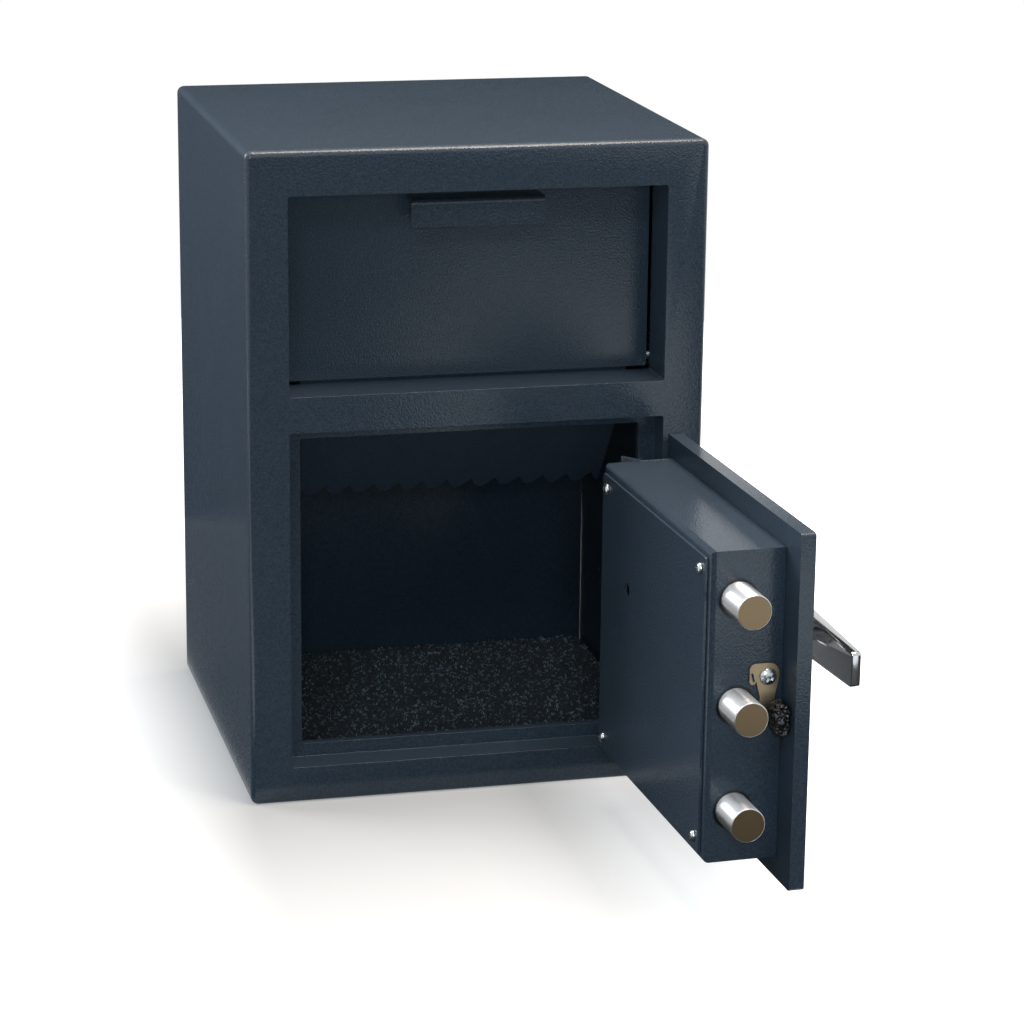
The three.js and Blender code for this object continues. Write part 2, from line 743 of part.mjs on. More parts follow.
function dialKnob() {
  const far = atV(-seatGap - runningGap);
  const near = far - dialFlange;
  const step = dialFlange / 2;
  const flange = turned([
    [0, far], [dialRadius, far], [dialRadius, far - step], [dialGripRadius + step, near], [0, near],
  ], dialX, dialZ, 48);
  const flutes = [];
  const count = 4 * dialGripFlutes;
  for (let i = 0; i < count; i += 1) {
    const angle = (2 * Math.PI * i) / count;
    const radius = dialGripRadius - dialGripFluteDepth * (0.5 + 0.5 * Math.cos(dialGripFlutes * angle));
    flutes.push([dialX + radius * Math.cos(angle), dialZ + radius * Math.sin(angle)]);
  }
  const grip = frontToBack(polygon(flutes), near - dialGripHeight, near + step);
  return join(flange, grip);
}

function dialSpindle() {
  return rodAlongY(
    dialSpindleRadius, atV(-runningGap), atV(doorThickness + seatGap + lockCaseDepth - seatGap), dialX, dialZ, 24);
}

function lockCase() {
  const near = atV(doorThickness + seatGap);
  const far = near + lockCaseDepth;
  const body = frontToBack(
    roundedRectangle(lockCaseWidth, lockCaseHeight, lockCaseCorner, dialX, dialZ), near, far);
  const bore = rodAlongY(dialSpindleRadius + runningGap, near - cutOverrun, far + cutOverrun, dialX, dialZ, 24);
  const keyHole = rodAlongY(
    changeKeyRadius, far - lockCaseDepth / 2, far + cutOverrun, changeKeyX, changeKeyZ, 24);
  return cut(body, bore, keyHole);
}

// Catch on the housing's free side, beside the middle bolt
const freeFaceX = atU(housingFreeSide);

function catchPlate() {
  const at = (deeper, higher) => [atV(catchDepth) + deeper, catchZ + higher];
  const hookInner = catchHeadReach - catchHookWidth;
  const hookRound = catchHookWidth / 2;
  const outline = new THREE.Shape();
  outline.moveTo(...at(-catchHeadBack, 0));
  outline.lineTo(...at(-catchTailRadius, -catchTailTop));
  outline.lineTo(...at(-catchTailRadius, -catchTailDrop));
  outline.absarc(...at(0, -catchTailDrop), catchTailRadius, Math.PI, 2 * Math.PI);
  outline.lineTo(...at(catchTailRadius, -catchTailTop));
  outline.lineTo(...at(hookInner, hookRound - catchHookDrop));
  outline.absarc(...at(hookInner + hookRound, hookRound - catchHookDrop), hookRound, Math.PI, 2 * Math.PI);
  outline.lineTo(...at(catchHeadReach, catchHeadTop - catchHeadRound));
  outline.absarc(
    ...at(catchHeadReach - catchHeadRound, catchHeadTop - catchHeadRound), catchHeadRound, 0, Math.PI / 2);
  outline.lineTo(...at(0, catchHeadTop));
  outline.quadraticCurveTo(...at(-catchHeadBack, catchHeadTop), ...at(-catchHeadBack, 0));
  const nearX = freeFaceX - seatGap - catchWall;
  const plate = across(outline, nearX, freeFaceX - seatGap, { curveSegments: 5 });
  const [slotY, slotZ] = at(hookInner + hookRound, hookRound - catchHookDrop / 2);
  const slot = across(
    roundedRectangle(catchSlotWidth, catchSlotLength, catchSlotWidth / 2 - runningGap),
    nearX - cutOverrun, freeFaceX + cutOverrun).rotate([-catchSlotLean, 0, 0]).translate([0, slotY, slotZ]);
  const hole = rodAlongX(
    coverScrewHole, nearX - cutOverrun, freeFaceX + cutOverrun, atV(catchDepth), catchZ, 16);
  return cut(plate, slot, hole);
}

function catchScrew() {
  const crown = catchScrewHead / 2;
  const reach = catchWall + 2 * seatGap + housingWall;
  const profile = [
    [0, -reach], [coverScrewShank, -reach], [coverScrewShank, 0], [catchScrewRadius, 0],
    [catchScrewRadius, crown], [catchScrewRadius - crown, catchScrewHead], [0, catchScrewHead],
  ];
  const points = profile.map(([radius, along]) => new THREE.Vector2(radius, along));
  const geometry = new THREE.LatheGeometry(points, 20);
  geometry.rotateZ(Math.PI / 2);
  geometry.translate(freeFaceX - 2 * seatGap - catchWall, atV(catchDepth), catchZ);
  return solidOf(geometry);
}

// The rubber stopper beside the catch's tail: an upright block on a stem that is pushed into the wall
function catchStopper() {
  const depth = doorThickness + seatGap + stopperWidth / 2;
  const farX = freeFaceX - 2 * seatGap - catchWall;
  const nearX = farX - stopperReach;
  const outline = roundedRectangle(stopperWidth, stopperHeight, stopperWidth / 2 - seatGap, atV(depth), stopperZ);
  const block = across(outline, nearX + stopperRound, farX - stopperRound, {
    bevelEnabled: true,
    bevelThickness: stopperRound,
    bevelSize: stopperRound,
    bevelOffset: -stopperRound,
    bevelSegments: 3,
  });
  const stem = rodAlongX(
    stopperStemRadius, farX - stopperRound, freeFaceX + housingWall, atV(stopperStemDepth), stopperZ, 16);
  return join(block, stem);
}

// Hopper, in its shut position
const hopperY = front + hopperPivotDepth;
const hopperZ = hopperOpeningFoot + hopperPivotRise;
const panelWidth = openingWidth - 2 * hopperSideGap;
const panelFoot = hopperOpeningFoot + hopperFootGap;
const panelTop = hopperOpeningTop - hopperTopGap;
const panelFace = front + hopperFaceDepth;
const panelBack = panelFace + hopperWall;
const trayWidth = panelWidth - 2 * traySideGap;

function hopperFront() {
  const outline = roundedRectangle(
    panelWidth, panelTop - panelFoot, openingCorner, 0, (panelTop + panelFoot) / 2);
  const pan = frontToBack(outline, panelFace, panelFace + hopperReturn);
  const hollow = frontToBack(
    roundedRectangle(
      panelWidth - 2 * returnWall, panelTop - panelFoot + 2 * cutOverrun, openingCorner,
      0, (panelTop + panelFoot) / 2),
    panelBack, panelFace + hopperReturn + cutOverrun);
  const holes = [-1, 1].map((side) => rodAlongX(
    hopperPinRadius + seatGap,
    side * panelWidth / 2 - returnWall - cutOverrun, side * panelWidth / 2 + returnWall + cutOverrun,
    hopperY, hopperZ, 20));
  return cut(pan, hollow, ...holes);
}

function hopperPull() {
  const top = panelTop - pullFromTop;
  const near = panelFace - pullReach;
  const far = panelFace - seatGap;
  const inner = pullBend - pullWall;
  const outline = new THREE.Shape();
  outline.moveTo(far, top);
  outline.lineTo(near + pullBend, top);
  outline.absarc(near + pullBend, top - pullBend, pullBend, Math.PI / 2, Math.PI);
  outline.lineTo(near, top - pullDrop);
  outline.lineTo(near + pullWall, top - pullDrop);
  outline.lineTo(near + pullWall, top - pullBend);
  outline.absarc(near + pullBend, top - pullBend, inner, Math.PI, Math.PI / 2, true);
  outline.lineTo(far, top - pullWall);
  outline.closePath();
  const lip = across(outline, pullOffset - pullWidth / 2, pullOffset + pullWidth / 2);
  const faceHeight = pullDrop + pullCorner;
  const face = frontToBack(
    roundedRectangle(pullWidth, faceHeight, pullCorner, pullOffset, top - pullDrop + faceHeight / 2),
    near - cutOverrun, far + cutOverrun);
  return lip.intersect(face);
}

// The tray's frame of reference: its upper face runs down and back from the knee
const trayLean = THREE.MathUtils.degToRad(trayAngle);
const trayFront = panelBack + seatGap;
const trayKneeZ = hopperZ - trayKneeDrop;
const alongTray = [Math.cos(trayLean), -Math.sin(trayLean)];
const throughTray = [Math.sin(trayLean), Math.cos(trayLean)];
const trayPoint = (along, through) => [
  trayFront + along * alongTray[0] + through * throughTray[0],
  trayKneeZ + along * alongTray[1] + through * throughTray[1],
];

// Shares of one tooth's pitch: where the notch starts, where its root is and where it ends
const notchStartShare = 0.22;
const notchRootShare = 0.6;
const notchEndShare = 0.82;

function trayBlade() {
  const pitch = trayWidth / toothCount;
  const left = -trayWidth / 2;
  const outline = new THREE.Shape();
  outline.moveTo(left, 0);
  outline.lineTo(left, trayLength + toothDepth - toothTipRound);
  for (let i = 0; i < toothCount; i += 1) {
    const start = left + i * pitch;
    const shoulder = trayLength + toothDepth - toothTipRound;
    const from = i === 0 ? start : start - (1 - notchEndShare) * pitch;
    const middle = (from + start + notchStartShare * pitch) / 2;
    outline.quadraticCurveTo(middle, shoulder + 2 * toothTipRound, start + notchStartShare * pitch, shoulder);
    outline.lineTo(start + notchRootShare * pitch, trayLength);
    outline.lineTo(start + notchEndShare * pitch, shoulder);
  }
  const right = left + trayWidth;
  const shoulder = trayLength + toothDepth - toothTipRound;
  outline.quadraticCurveTo(right - (1 - notchEndShare) * pitch / 2, shoulder + 2 * toothTipRound, right, shoulder);
  outline.lineTo(right, 0);
  outline.closePath();
  const geometry = new THREE.ExtrudeGeometry(outline, { ...flat, depth: trayWall });
  const basis = new THREE.Matrix4().makeBasis(
    new THREE.Vector3(1, 0, 0),
    new THREE.Vector3(0, ...alongTray),
    new THREE.Vector3(0, ...throughTray),
  );
  basis.setPosition(0, trayFront, trayKneeZ);
  geometry.applyMatrix4(basis);
  return solidOf(geometry);
}

function hopperTray() {
  const flangeTop = hopperZ + trayFlangeTop;
  const bendBack = trayWall * Math.tan((Math.PI / 2 - trayLean) / 2);
  const flange = across(
    polygon([
      [trayFront, trayKneeZ],
      trayPoint(trayWall, 0),
      trayPoint(trayWall, trayWall),
      [trayFront + trayWall, trayKneeZ + bendBack],
      [trayFront + trayWall, flangeTop],
      [trayFront, flangeTop],
    ]), -trayWidth / 2, trayWidth / 2);
  return join(trayBlade(), flange);
}

function hopperCheek(side) {
  const lift = trayWall + seatGap;
  const tail = trayPoint(cheekTailShare * trayLength, lift);
  const frontY = trayFront + lift;
  const knee = [frontY, trayKneeZ + lift * Math.tan((Math.PI / 2 - trayLean) / 2)];
  const top = panelTop - cheekTopGap;
  const flangeTop = hopperZ + trayFlangeTop + seatGap;
  const outline = new THREE.Shape();
  outline.moveTo(...knee);
  outline.lineTo(frontY, flangeTop);
  outline.lineTo(trayFront, flangeTop);
  outline.lineTo(trayFront, top);
  outline.lineTo(trayFront + cheekTopWidth, top);
  outline.quadraticCurveTo(trayFront + cheekBelly, (top + hopperZ) / 2, ...tail);
  outline.closePath();
  const outer = side * trayWidth / 2;
  const inner = side * (trayWidth / 2 - cheekWall);
  return across(outline, Math.min(outer, inner), Math.max(outer, inner), { curveSegments: 16 });
}

const tunnelOutside = openingWidth / 2 + returnWall;

function hopperBracket(side) {
  const inner = tunnelOutside + seatGap;
  const near = front + tunnelDepth - bracketLap;
  const far = hopperY + bracketTail;
  const outline = roundedRectangle(far - near, bracketHeight, openingCorner, (near + far) / 2, hopperZ);
  const plate = across(outline, inner, inner + bracketWall);
  const hole = rodAlongX(hopperPinRadius + runningGap, inner - cutOverrun, inner + bracketWall + cutOverrun,
    hopperY, hopperZ, 20);
  const bracket = cut(plate, hole);
  return side > 0 ? bracket : bracket.mirror([1, 0, 0]);
}

function hopperPin(side) {
  const inner = panelWidth / 2 - returnWall - seatGap;
  const outer = tunnelOutside + seatGap + bracketWall;
  const pin = join(
    rodAlongX(hopperPinRadius, inner - hopperPinHead / 2, outer, hopperY, hopperZ, 20),
    rodAlongX(hopperPinHeadRadius, inner - hopperPinHead, inner, hopperY, hopperZ, 20));
  return side > 0 ? pin : pin.mirror([1, 0, 0]);
}

function roofBaffle() {
  const y = hopperY + baffleFromPivot;
  const roof = cabinetHeight - shellWall - seatGap;
  const foot = hopperZ - baffleFootDrop;
  const outline = polygon([
    [y - baffleLip, foot],
    [y + baffleWall, foot],
    [y + baffleWall, roof - baffleWall],
    [y + baffleFlange, roof - baffleWall],
    [y + baffleFlange, roof],
    [y, roof],
    [y, foot + baffleWall],
    [y - baffleLip, foot + baffleWall],
  ]);
  const half = cabinetWidth / 2 - shellBend;
  return across(outline, -half, half);
}

// Cabinet pieces
place(safe, "cabinet_wrap", cabinetWrap(), bluePaint);
place(safe, "back_panel", backPanel(), bluePaint);
place(safe, "front_frame", frontFrame(), bluePaint);
place(safe, "roof_baffle", roofBaffle(), bluePaint);
place(safe, "carpet_mat", carpetMat(), greyCarpet);
for (const [where, middle] of Object.entries(hingeJoints)) {
  place(safe, `hinge_lug_${where}`, hingeLug(middle), bluePaint);
  place(safe, `hinge_pin_${where}`, hingePin(middle), brightSteel);
  place(doorGroup, `hinge_strap_${where}`, hingeStrap(middle), bluePaint);
}

// Hopper pieces
place(safe, "hopper_front", hopperFront(), bluePaint);
place(safe, "hopper_pull", hopperPull(), bluePaint);
place(safe, "hopper_tray", hopperTray(), bluePaint);
for (const [where, side] of [["left", -1], ["right", 1]]) {
  place(safe, `hopper_bracket_${where}`, hopperBracket(side), zinc);
  place(safe, `hopper_pin_${where}`, hopperPin(side), zinc);
  place(safe, `hopper_cheek_${where}`, hopperCheek(side), bluePaint);
}

// Door pieces
place(doorGroup, "door_slab", doorSlab(), bluePaint);
place(doorGroup, "bolt_housing", boltHousing(), bluePaint);
place(doorGroup, "housing_cover", housingCover(), bluePaint);
coverScrewPlaces.forEach((spot, i) => {
  place(doorGroup, `cover_screw_${i + 1}`, coverScrew(spot), zinc);
});
place(doorGroup, "fixed_locking_bar", lockingBar(), bluePaint);
place(doorGroup, "bolt_guide", boltGuide(), zinc);
place(doorGroup, "lock_case", lockCase(), castZinc);
place(doorGroup, "dial_ring", dialRing(), blackDial);
place(doorGroup, "handle_rose", handleRose(), chrome);
place(doorGroup, "catch_plate", catchPlate(), yellowZinc);
place(doorGroup, "catch_screw", catchScrew(), zinc);
place(doorGroup, "catch_stopper", catchStopper(), blackRubber);

// Pieces that move on the door
["lower", "middle", "upper"].forEach((where, i) => {
  place(doorGroup, `bolt_${where}`, bolt(boltHeights[i]), chrome);
});
place(doorGroup, "bolt_carrier", boltCarrier(), zinc);
place(doorGroup, "lever_handle", leverHandle(), chrome);
place(doorGroup, "handle_spindle", handleSpindle(), brightSteel);
place(doorGroup, "bolt_cam", boltCam(), zinc);
place(doorGroup, "dial_knob", dialKnob(), blackDial);
place(doorGroup, "dial_spindle", dialSpindle(), brightSteel);

export default safe;
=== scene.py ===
# %% [markdown]
# A drop safe, dressed for the camera.
# The steel cabinet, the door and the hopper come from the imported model, already in metres and in place.
# This script gives each piece its rounded edges, its finish and its small parts, and then lights the whole.

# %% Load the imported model
import json
import math

import bmesh
import bpy
from mathutils import Matrix, Vector


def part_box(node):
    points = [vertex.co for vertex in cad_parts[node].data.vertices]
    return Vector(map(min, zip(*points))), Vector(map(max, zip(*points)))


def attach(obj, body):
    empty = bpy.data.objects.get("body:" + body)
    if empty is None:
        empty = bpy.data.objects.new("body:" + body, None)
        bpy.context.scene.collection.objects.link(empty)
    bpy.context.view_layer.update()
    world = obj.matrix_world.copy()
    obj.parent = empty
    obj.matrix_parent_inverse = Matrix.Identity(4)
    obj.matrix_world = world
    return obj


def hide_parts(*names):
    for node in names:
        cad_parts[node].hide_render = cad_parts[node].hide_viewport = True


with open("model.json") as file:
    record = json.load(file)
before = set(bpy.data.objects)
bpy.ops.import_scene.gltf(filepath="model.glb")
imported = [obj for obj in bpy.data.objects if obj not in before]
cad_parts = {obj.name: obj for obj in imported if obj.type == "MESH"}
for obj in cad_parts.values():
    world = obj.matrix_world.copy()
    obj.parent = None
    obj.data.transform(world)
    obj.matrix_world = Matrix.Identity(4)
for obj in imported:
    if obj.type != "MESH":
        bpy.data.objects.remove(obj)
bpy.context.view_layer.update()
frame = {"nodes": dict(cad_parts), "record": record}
MM = 0.001
scene = bpy.context.scene

# %% [markdown]
# Colours are easiest to choose as hex values, the way a paint chart or a screen gives them.
# Blender's shaders want linear light, so one function turns every hex value into that.
# A second one adds a node with its settings and links, which keeps each recipe readable from top to bottom.
# Every finish starts from noise of some grain, in millimetres, and takes its roughness and bumps from it.

# %% Colour and node helpers
def linear(code):
    parts = [int(code[i:i + 2], 16) / 255 for i in (1, 3, 5)]
    curve = [p / 12.92 if p <= 0.04045 else ((p + 0.055) / 1.055) ** 2.4 for p in parts]
    return (*curve, 1.0)


def add(tree, kind, feeds=None, **settings):
    node = tree.nodes.new(kind)
    for name, value in settings.items():
        setattr(node, name, value)
    for name, value in (feeds or {}).items():
        if isinstance(value, bpy.types.NodeSocket):
            tree.links.new(value, node.inputs[name])
        else:
            node.inputs[name].default_value = value
    return node


def new_finish(name):
    finish = bpy.data.materials.new(name)
    finish.use_nodes = True
    finish.node_tree.nodes.clear()
    tree = finish.node_tree
    return finish, tree, add(tree, "ShaderNodeTexCoord").outputs["Object"]


def close_finish(tree, feeds):
    shader = add(tree, "ShaderNodeBsdfPrincipled", feeds)
    add(tree, "ShaderNodeOutputMaterial", {"Surface": shader.outputs["BSDF"]})


def noise(tree, place, grain, detail, roughness=0.5):
    pattern = add(tree, "ShaderNodeTexNoise", {
        "Vector": place, "Scale": 1 / (grain * MM), "Detail": detail, "Roughness": roughness})
    return pattern.outputs["Fac"]


def matt_range(tree, pattern, low, high):
    matt = add(tree, "ShaderNodeMapRange", {
        "Value": pattern, "From Min": 0.3, "From Max": 0.7, "To Min": low, "To Max": high})
    return matt.outputs["Result"]


def bumps(tree, pattern, strength, depth):
    skin = add(tree, "ShaderNodeBump", {"Height": pattern, "Strength": strength, "Distance": depth * MM})
    return skin.outputs["Normal"]


print("helpers ready")

# %% [markdown]
# The cabinet is mild steel with a powder coat: polyester powder, sprayed on dry, then baked at 180 degrees.
# It melts into a skin with a fine orange peel, so flat faces look even and bent edges sparkle.
# The grain is about 1.5 mm. One noise layer makes it, and a broader one shifts the tone a little.
# The coat layer of the shader is the glossy skin. Its own shallower bumps break a lamp's image into glints.

# %% Powder coat
PEEL_DEPTH, GLINT_DEPTH, CLOUD_SIZE, CLOUD_SHARE = 0.8, 0.14, 60, 0.15


def powder_coat(name, dark, light, grain, bump):
    finish, tree, place = new_finish(name)
    peel = noise(tree, place, grain, 1.5, 0.6)
    cloud = noise(tree, place, CLOUD_SIZE, 3.0)
    blend = add(tree, "ShaderNodeMath", {0: cloud, 1: CLOUD_SHARE, 2: peel}, operation="MULTIPLY_ADD")
    tone = add(tree, "ShaderNodeMapRange", {
        "Value": blend.outputs["Value"], "From Min": 0.35, "From Max": 0.8})
    colour = add(tree, "ShaderNodeMix", {
        0: tone.outputs["Result"], 6: linear(dark), 7: linear(light)}, data_type="RGBA")
    close_finish(tree, {
        "Base Color": colour.outputs[2], "Roughness": matt_range(tree, peel, 0.48, 0.62),
        "Normal": bumps(tree, peel, bump, PEEL_DEPTH), "Specular IOR Level": 0.12,
        "Coat Weight": 0.65, "Coat Roughness": 0.13, "Coat Normal": bumps(tree, peel, 1.0, GLINT_DEPTH)})
    return finish


coat = powder_coat("powder_coat_blue_grey", "#2b3947", "#3c4b5a", 1.5, 0.9)
print("made", coat.name)

# %% [markdown]
# The bolts and the lever are chrome plated: nickel under a very thin hard chrome layer, polished.
# Such a surface is a mirror with faint polishing haze, so its look comes from what stands around it.
# A lathe leaves fine rings on the bolts. On their sides the rings smear a reflection along the bolt, which
# is what anisotropy does, and on their end faces the metal is duller.
# The end faces' warm brown is a painted reflection of a dark brown floor; the steel itself is grey.
# The rings follow the turned shape, so they read the turning map: distance along the profile, and angle.

# %% Chrome, turned faces and plated steel
def plated(name, colour, low, high, grain, bump):
    finish, tree, place = new_finish(name)
    haze = noise(tree, place, grain, 4.0, 0.6)
    close_finish(tree, {
        "Base Color": linear(colour), "Metallic": 1.0, "Roughness": matt_range(tree, haze, low, high),
        "Normal": bumps(tree, haze, bump, 0.05)})
    return finish


def lathe_rings(tree, per_mm, detail):
    turning = add(tree, "ShaderNodeUVMap", uv_map="turning")
    along = add(tree, "ShaderNodeVectorMath", {
        0: turning.outputs["UV"], 1: (per_mm, 0.0, 0.0)}, operation="MULTIPLY")
    return add(tree, "ShaderNodeTexNoise", {
        "Vector": along.outputs["Vector"], "Scale": 1.0, "Detail": detail}).outputs["Fac"]


def faced_steel(name, colour):
    finish, tree, _ = new_finish(name)
    rings = lathe_rings(tree, 1.6, 2.0)
    close_finish(tree, {
        "Base Color": linear(colour), "Metallic": 1.0, "Roughness": matt_range(tree, rings, 0.26, 0.44),
        "Normal": bumps(tree, rings, 0.25, 0.08)})
    return finish


def turned_bar(name, colour):
    finish, tree, _ = new_finish(name)
    rings = lathe_rings(tree, 2.2, 3.0)
    along = add(tree, "ShaderNodeTangent", direction_type="UV_MAP", uv_map="turning")
    close_finish(tree, {
        "Base Color": linear(colour), "Metallic": 1.0, "Roughness": matt_range(tree, rings, 0.38, 0.5),
        "Anisotropic": 0.9, "Tangent": along.outputs["Tangent"]})
    return finish


turned_steel = turned_bar("turned_plated_bar", "#e9eaec")
chrome = plated("chrome_plate", "#c2c4c6", 0.06, 0.13, 9, 0.05)
# The end faces' brown colour is a painted reflection; bare faced steel is grey.
faced = faced_steel("bolt_end_with_painted_reflection", "#86745b")
bare_steel = plated("turned_bare_steel", "#a9a7a3", 0.28, 0.4, 2, 0.2)
zinc = plated("bright_zinc_plate", "#c3c8cc", 0.2, 0.34, 3, 0.25)
yellow_zinc = plated("yellow_passivated_zinc", "#b3a084", 0.3, 0.45, 4, 0.2)
die_cast = plated("die_cast_zinc", "#94979b", 0.42, 0.56, 1.6, 0.5)
for finish in (turned_steel, chrome, faced, bare_steel, zinc, yellow_zinc, die_cast):
    print("made", finish.name)

# %% [markdown]
# The plain dark stuffs are left: the rubber of the stopper, the dial's stoved enamel and its white paint.
# Old rubber is greasy and shines on its folds. Enamel is smooth and glossy, and the dial's paint is flat.
# The velvet is for the studio's black sheets.

# %% Rubber, enamel, marking paint and velvet
def moulded(name, dark, light, grain, low, high, bump):
    finish, tree, place = new_finish(name)
    grainy = noise(tree, place, grain, 3.0)
    colour = add(tree, "ShaderNodeMix", {0: grainy, 6: linear(dark), 7: linear(light)}, data_type="RGBA")
    close_finish(tree, {
        "Base Color": colour.outputs[2], "Roughness": matt_range(tree, grainy, low, high),
        "Normal": bumps(tree, grainy, bump, 0.1)})
    return finish


rubber = moulded("black_moulded_rubber", "#08090a", "#121315", 0.8, 0.24, 0.4, 0.6)
enamel = moulded("black_stoved_enamel", "#0b0c0d", "#121314", 6, 0.12, 0.2, 0.1)
mark_paint = moulded("white_marking_paint", "#d5d6d3", "#e6e7e4", 1, 0.5, 0.65, 0.2)
black_velvet = moulded("black_velvet_drape", "#060606", "#0e0e0e", 2, 0.8, 0.95, 0.3)
print("made", rubber.name, enamel.name, mark_paint.name, black_velvet.name)

# %% [markdown]
# Sheet steel is bent, not carved, so no edge on it is sharp, and powder coat rounds it further.
# Those edges catch the light and draw the object's outline.
# Each painted piece is a merged copy of its solid with a small bevel on its edges, and takes its place.

# %% Coated copies of the sheet-steel solids
bodies = frame["record"]["behaviour"]["bodies"]
body_of = {node: body for body, nodes in bodies.items() for node in nodes}
BEVEL_STEPS, EDGE_ANGLE = 3, 28


def settle(piece):
    bpy.context.view_layer.update()
    now = bpy.context.evaluated_depsgraph_get()
    shape = bpy.data.meshes.new_from_object(
        piece.evaluated_get(now), preserve_all_data_layers=True, depsgraph=now)
    piece.modifiers.clear()
    piece.data = shape
    return piece


def smooth(mesh, sharp_from):
    for face in mesh.polygons:
        face.use_smooth = True
    mesh.set_sharp_from_angle(angle=math.radians(sharp_from))


def coated(node, finish, edge):
    mesh = frame["nodes"][node].data.copy()
    shape = bmesh.new()
    shape.from_mesh(mesh)
    bmesh.ops.remove_doubles(shape, verts=shape.verts[:], dist=0.002 * MM)
    bmesh.ops.dissolve_limit(
        shape, angle_limit=math.radians(0.5), verts=shape.verts[:], edges=shape.edges[:])
    shape.to_mesh(mesh)
    shape.free()
    smooth(mesh, EDGE_ANGLE)
    mesh.materials.clear()
    mesh.materials.append(finish)
    piece = bpy.data.objects.new(f"{node}.finished", mesh)
    scene.collection.objects.link(piece)
    if edge:
        bevel = piece.modifiers.new("edge_round", "BEVEL")
        bevel.width = edge * MM
        bevel.segments = BEVEL_STEPS
        bevel.limit_method = "ANGLE"
        bevel.angle_limit = math.radians(EDGE_ANGLE)
        bevel.harden_normals = True
    settle(piece)
    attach(piece, body_of[node])
    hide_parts(node)
    return piece


edges = {
    "cabinet_wrap": 0.12, "front_frame": 2.2, "back_panel": 0.5, "roof_baffle": 0.5,
    "hinge_lug_lower": 0.7, "hinge_lug_upper": 0.7, "hinge_strap_lower": 0.9, "hinge_strap_upper": 0.9,
    "hopper_front": 0.8, "hopper_pull": 0.5, "hopper_tray": 0.35, "hopper_cheek_left": 0.4,
    "hopper_cheek_right": 0.4, "door_slab": 1.0, "bolt_housing": 1.2, "housing_cover": 0.35,
    "fixed_locking_bar": 0.6,
}
for node, edge in edges.items():
    coated(node, coat, edge)
print("coated", len(edges), "pieces")

# %% [markdown]
# The door's small steel and cast parts keep their solids' shapes too, with finer edges.

# %% Plated and cast copies
trim = {
    "lever_handle": (chrome, 0.3), "catch_plate": (yellow_zinc, 0.3), "lock_case": (die_cast, 1.2),
    "bolt_carrier": (zinc, 0.4), "bolt_guide": (zinc, 0.4), "bolt_cam": (zinc, 0.4),
    "hopper_bracket_left": (zinc, 0.4), "hopper_bracket_right": (zinc, 0.4),
    "hopper_pin_left": (zinc, 0.3), "hopper_pin_right": (zinc, 0.3),
    "hinge_pin_lower": (bare_steel, 0.5), "hinge_pin_upper": (bare_steel, 0.5),
    "handle_spindle": (bare_steel, 0.4), "dial_spindle": (bare_steel, 0.3),
    "dial_knob": (enamel, 0.25), "dial_ring": (enamel, 0.5), "handle_rose": (chrome, 0.5),
}
for node, (finish, edge) in trim.items():
    coated(node, finish, edge)
print("finished", len(trim), "plated and cast pieces")

# %% [markdown]
# The black stopper beside the catch is a lump of soft rubber that the door has squeezed many times.
# It has split and folded, so its copy is remeshed finely and pushed in and out by a cloud pattern.

# %% Crumpled rubber stopper
stopper = coated("catch_stopper", rubber, 0)
fine = stopper.modifiers.new("fine_mesh", "REMESH")
fine.mode = "VOXEL"
fine.voxel_size = 0.45 * MM
folds = bpy.data.textures.new("rubber_folds", "CLOUDS")
folds.noise_scale = 4.2 * MM
folds.noise_depth = 2
push = stopper.modifiers.new("folds", "DISPLACE")
push.texture = folds
push.strength = 5.0 * MM
push.mid_level = 0.62
settle(stopper)
smooth(stopper.data, 180)
print("stopper has", len(stopper.data.polygons), "faces")

# %% [markdown]
# The door stands open at rest, and the record's joint says by how much. The door's own pieces are easier to
# place as if it were shut, so one matrix swings them out round the hinge.

# %% Where the door stands
joints = {joint["name"]: joint for joint in frame["record"]["behaviour"]["joints"]}
hinge = Matrix.Translation(joints["door_swing"]["pos_m"])
door_open = -joints["door_swing"]["range_deg"][0]
door_turn = hinge @ Matrix.Rotation(math.radians(door_open), 4, "Z") @ hinge.inverted()
print("door open by", door_open, "degrees")

# %% [markdown]
# A bolt is turned from round bar, so it is made as a lathe would make it: a profile spun round an axis.
# The mesh keeps a turning map, which lets the rings on its end face follow the spin.

# %% Turned pieces
TURN_STEPS = 96


def turned(name, profile, start, along, finishes):
    axis = Vector(along).normalized()
    turn = Matrix.Translation(Vector(start) * MM) @ axis.to_track_quat("Z", "Y").to_matrix().to_4x4()
    shape = bmesh.new()
    layer = shape.loops.layers.uv.new("turning")
    rings = []
    for radius, height, _ in profile:
        spots = [math.tau * i / TURN_STEPS for i in range(TURN_STEPS if radius else 1)]
        rings.append([shape.verts.new(Vector((
            radius * math.cos(spot), radius * math.sin(spot), height)) * MM) for spot in spots])
    run = 0.0
    for (r0, h0, part), (r1, h1, _), low, high in zip(profile, profile[1:], rings, rings[1:]):
        reach = math.hypot(r1 - r0, h1 - h0)
        for i in range(TURN_STEPS):
            j = (i + 1) % TURN_STEPS
            corners = [(low[i % len(low)], run, i), (low[j % len(low)], run, i + 1),
                       (high[j % len(high)], run + reach, i + 1), (high[i % len(high)], run + reach, i)]
            corners = [c for k, c in enumerate(corners) if c[0] not in [d[0] for d in corners[:k]]]
            face = shape.faces.new([vert for vert, _, _ in corners])
            face.material_index = part
            for loop, (_, u, v) in zip(face.loops, corners):
                loop[layer].uv = (u, v / TURN_STEPS)
        run += reach
    shape.transform(turn)
    bmesh.ops.recalc_face_normals(shape, faces=shape.faces[:])
    mesh = bpy.data.meshes.new(name)
    shape.to_mesh(mesh)
    shape.free()
    smooth(mesh, 35)
    for finish in finishes:
        mesh.materials.append(finish)
    piece = bpy.data.objects.new(name, mesh)
    scene.collection.objects.link(piece)
    return piece


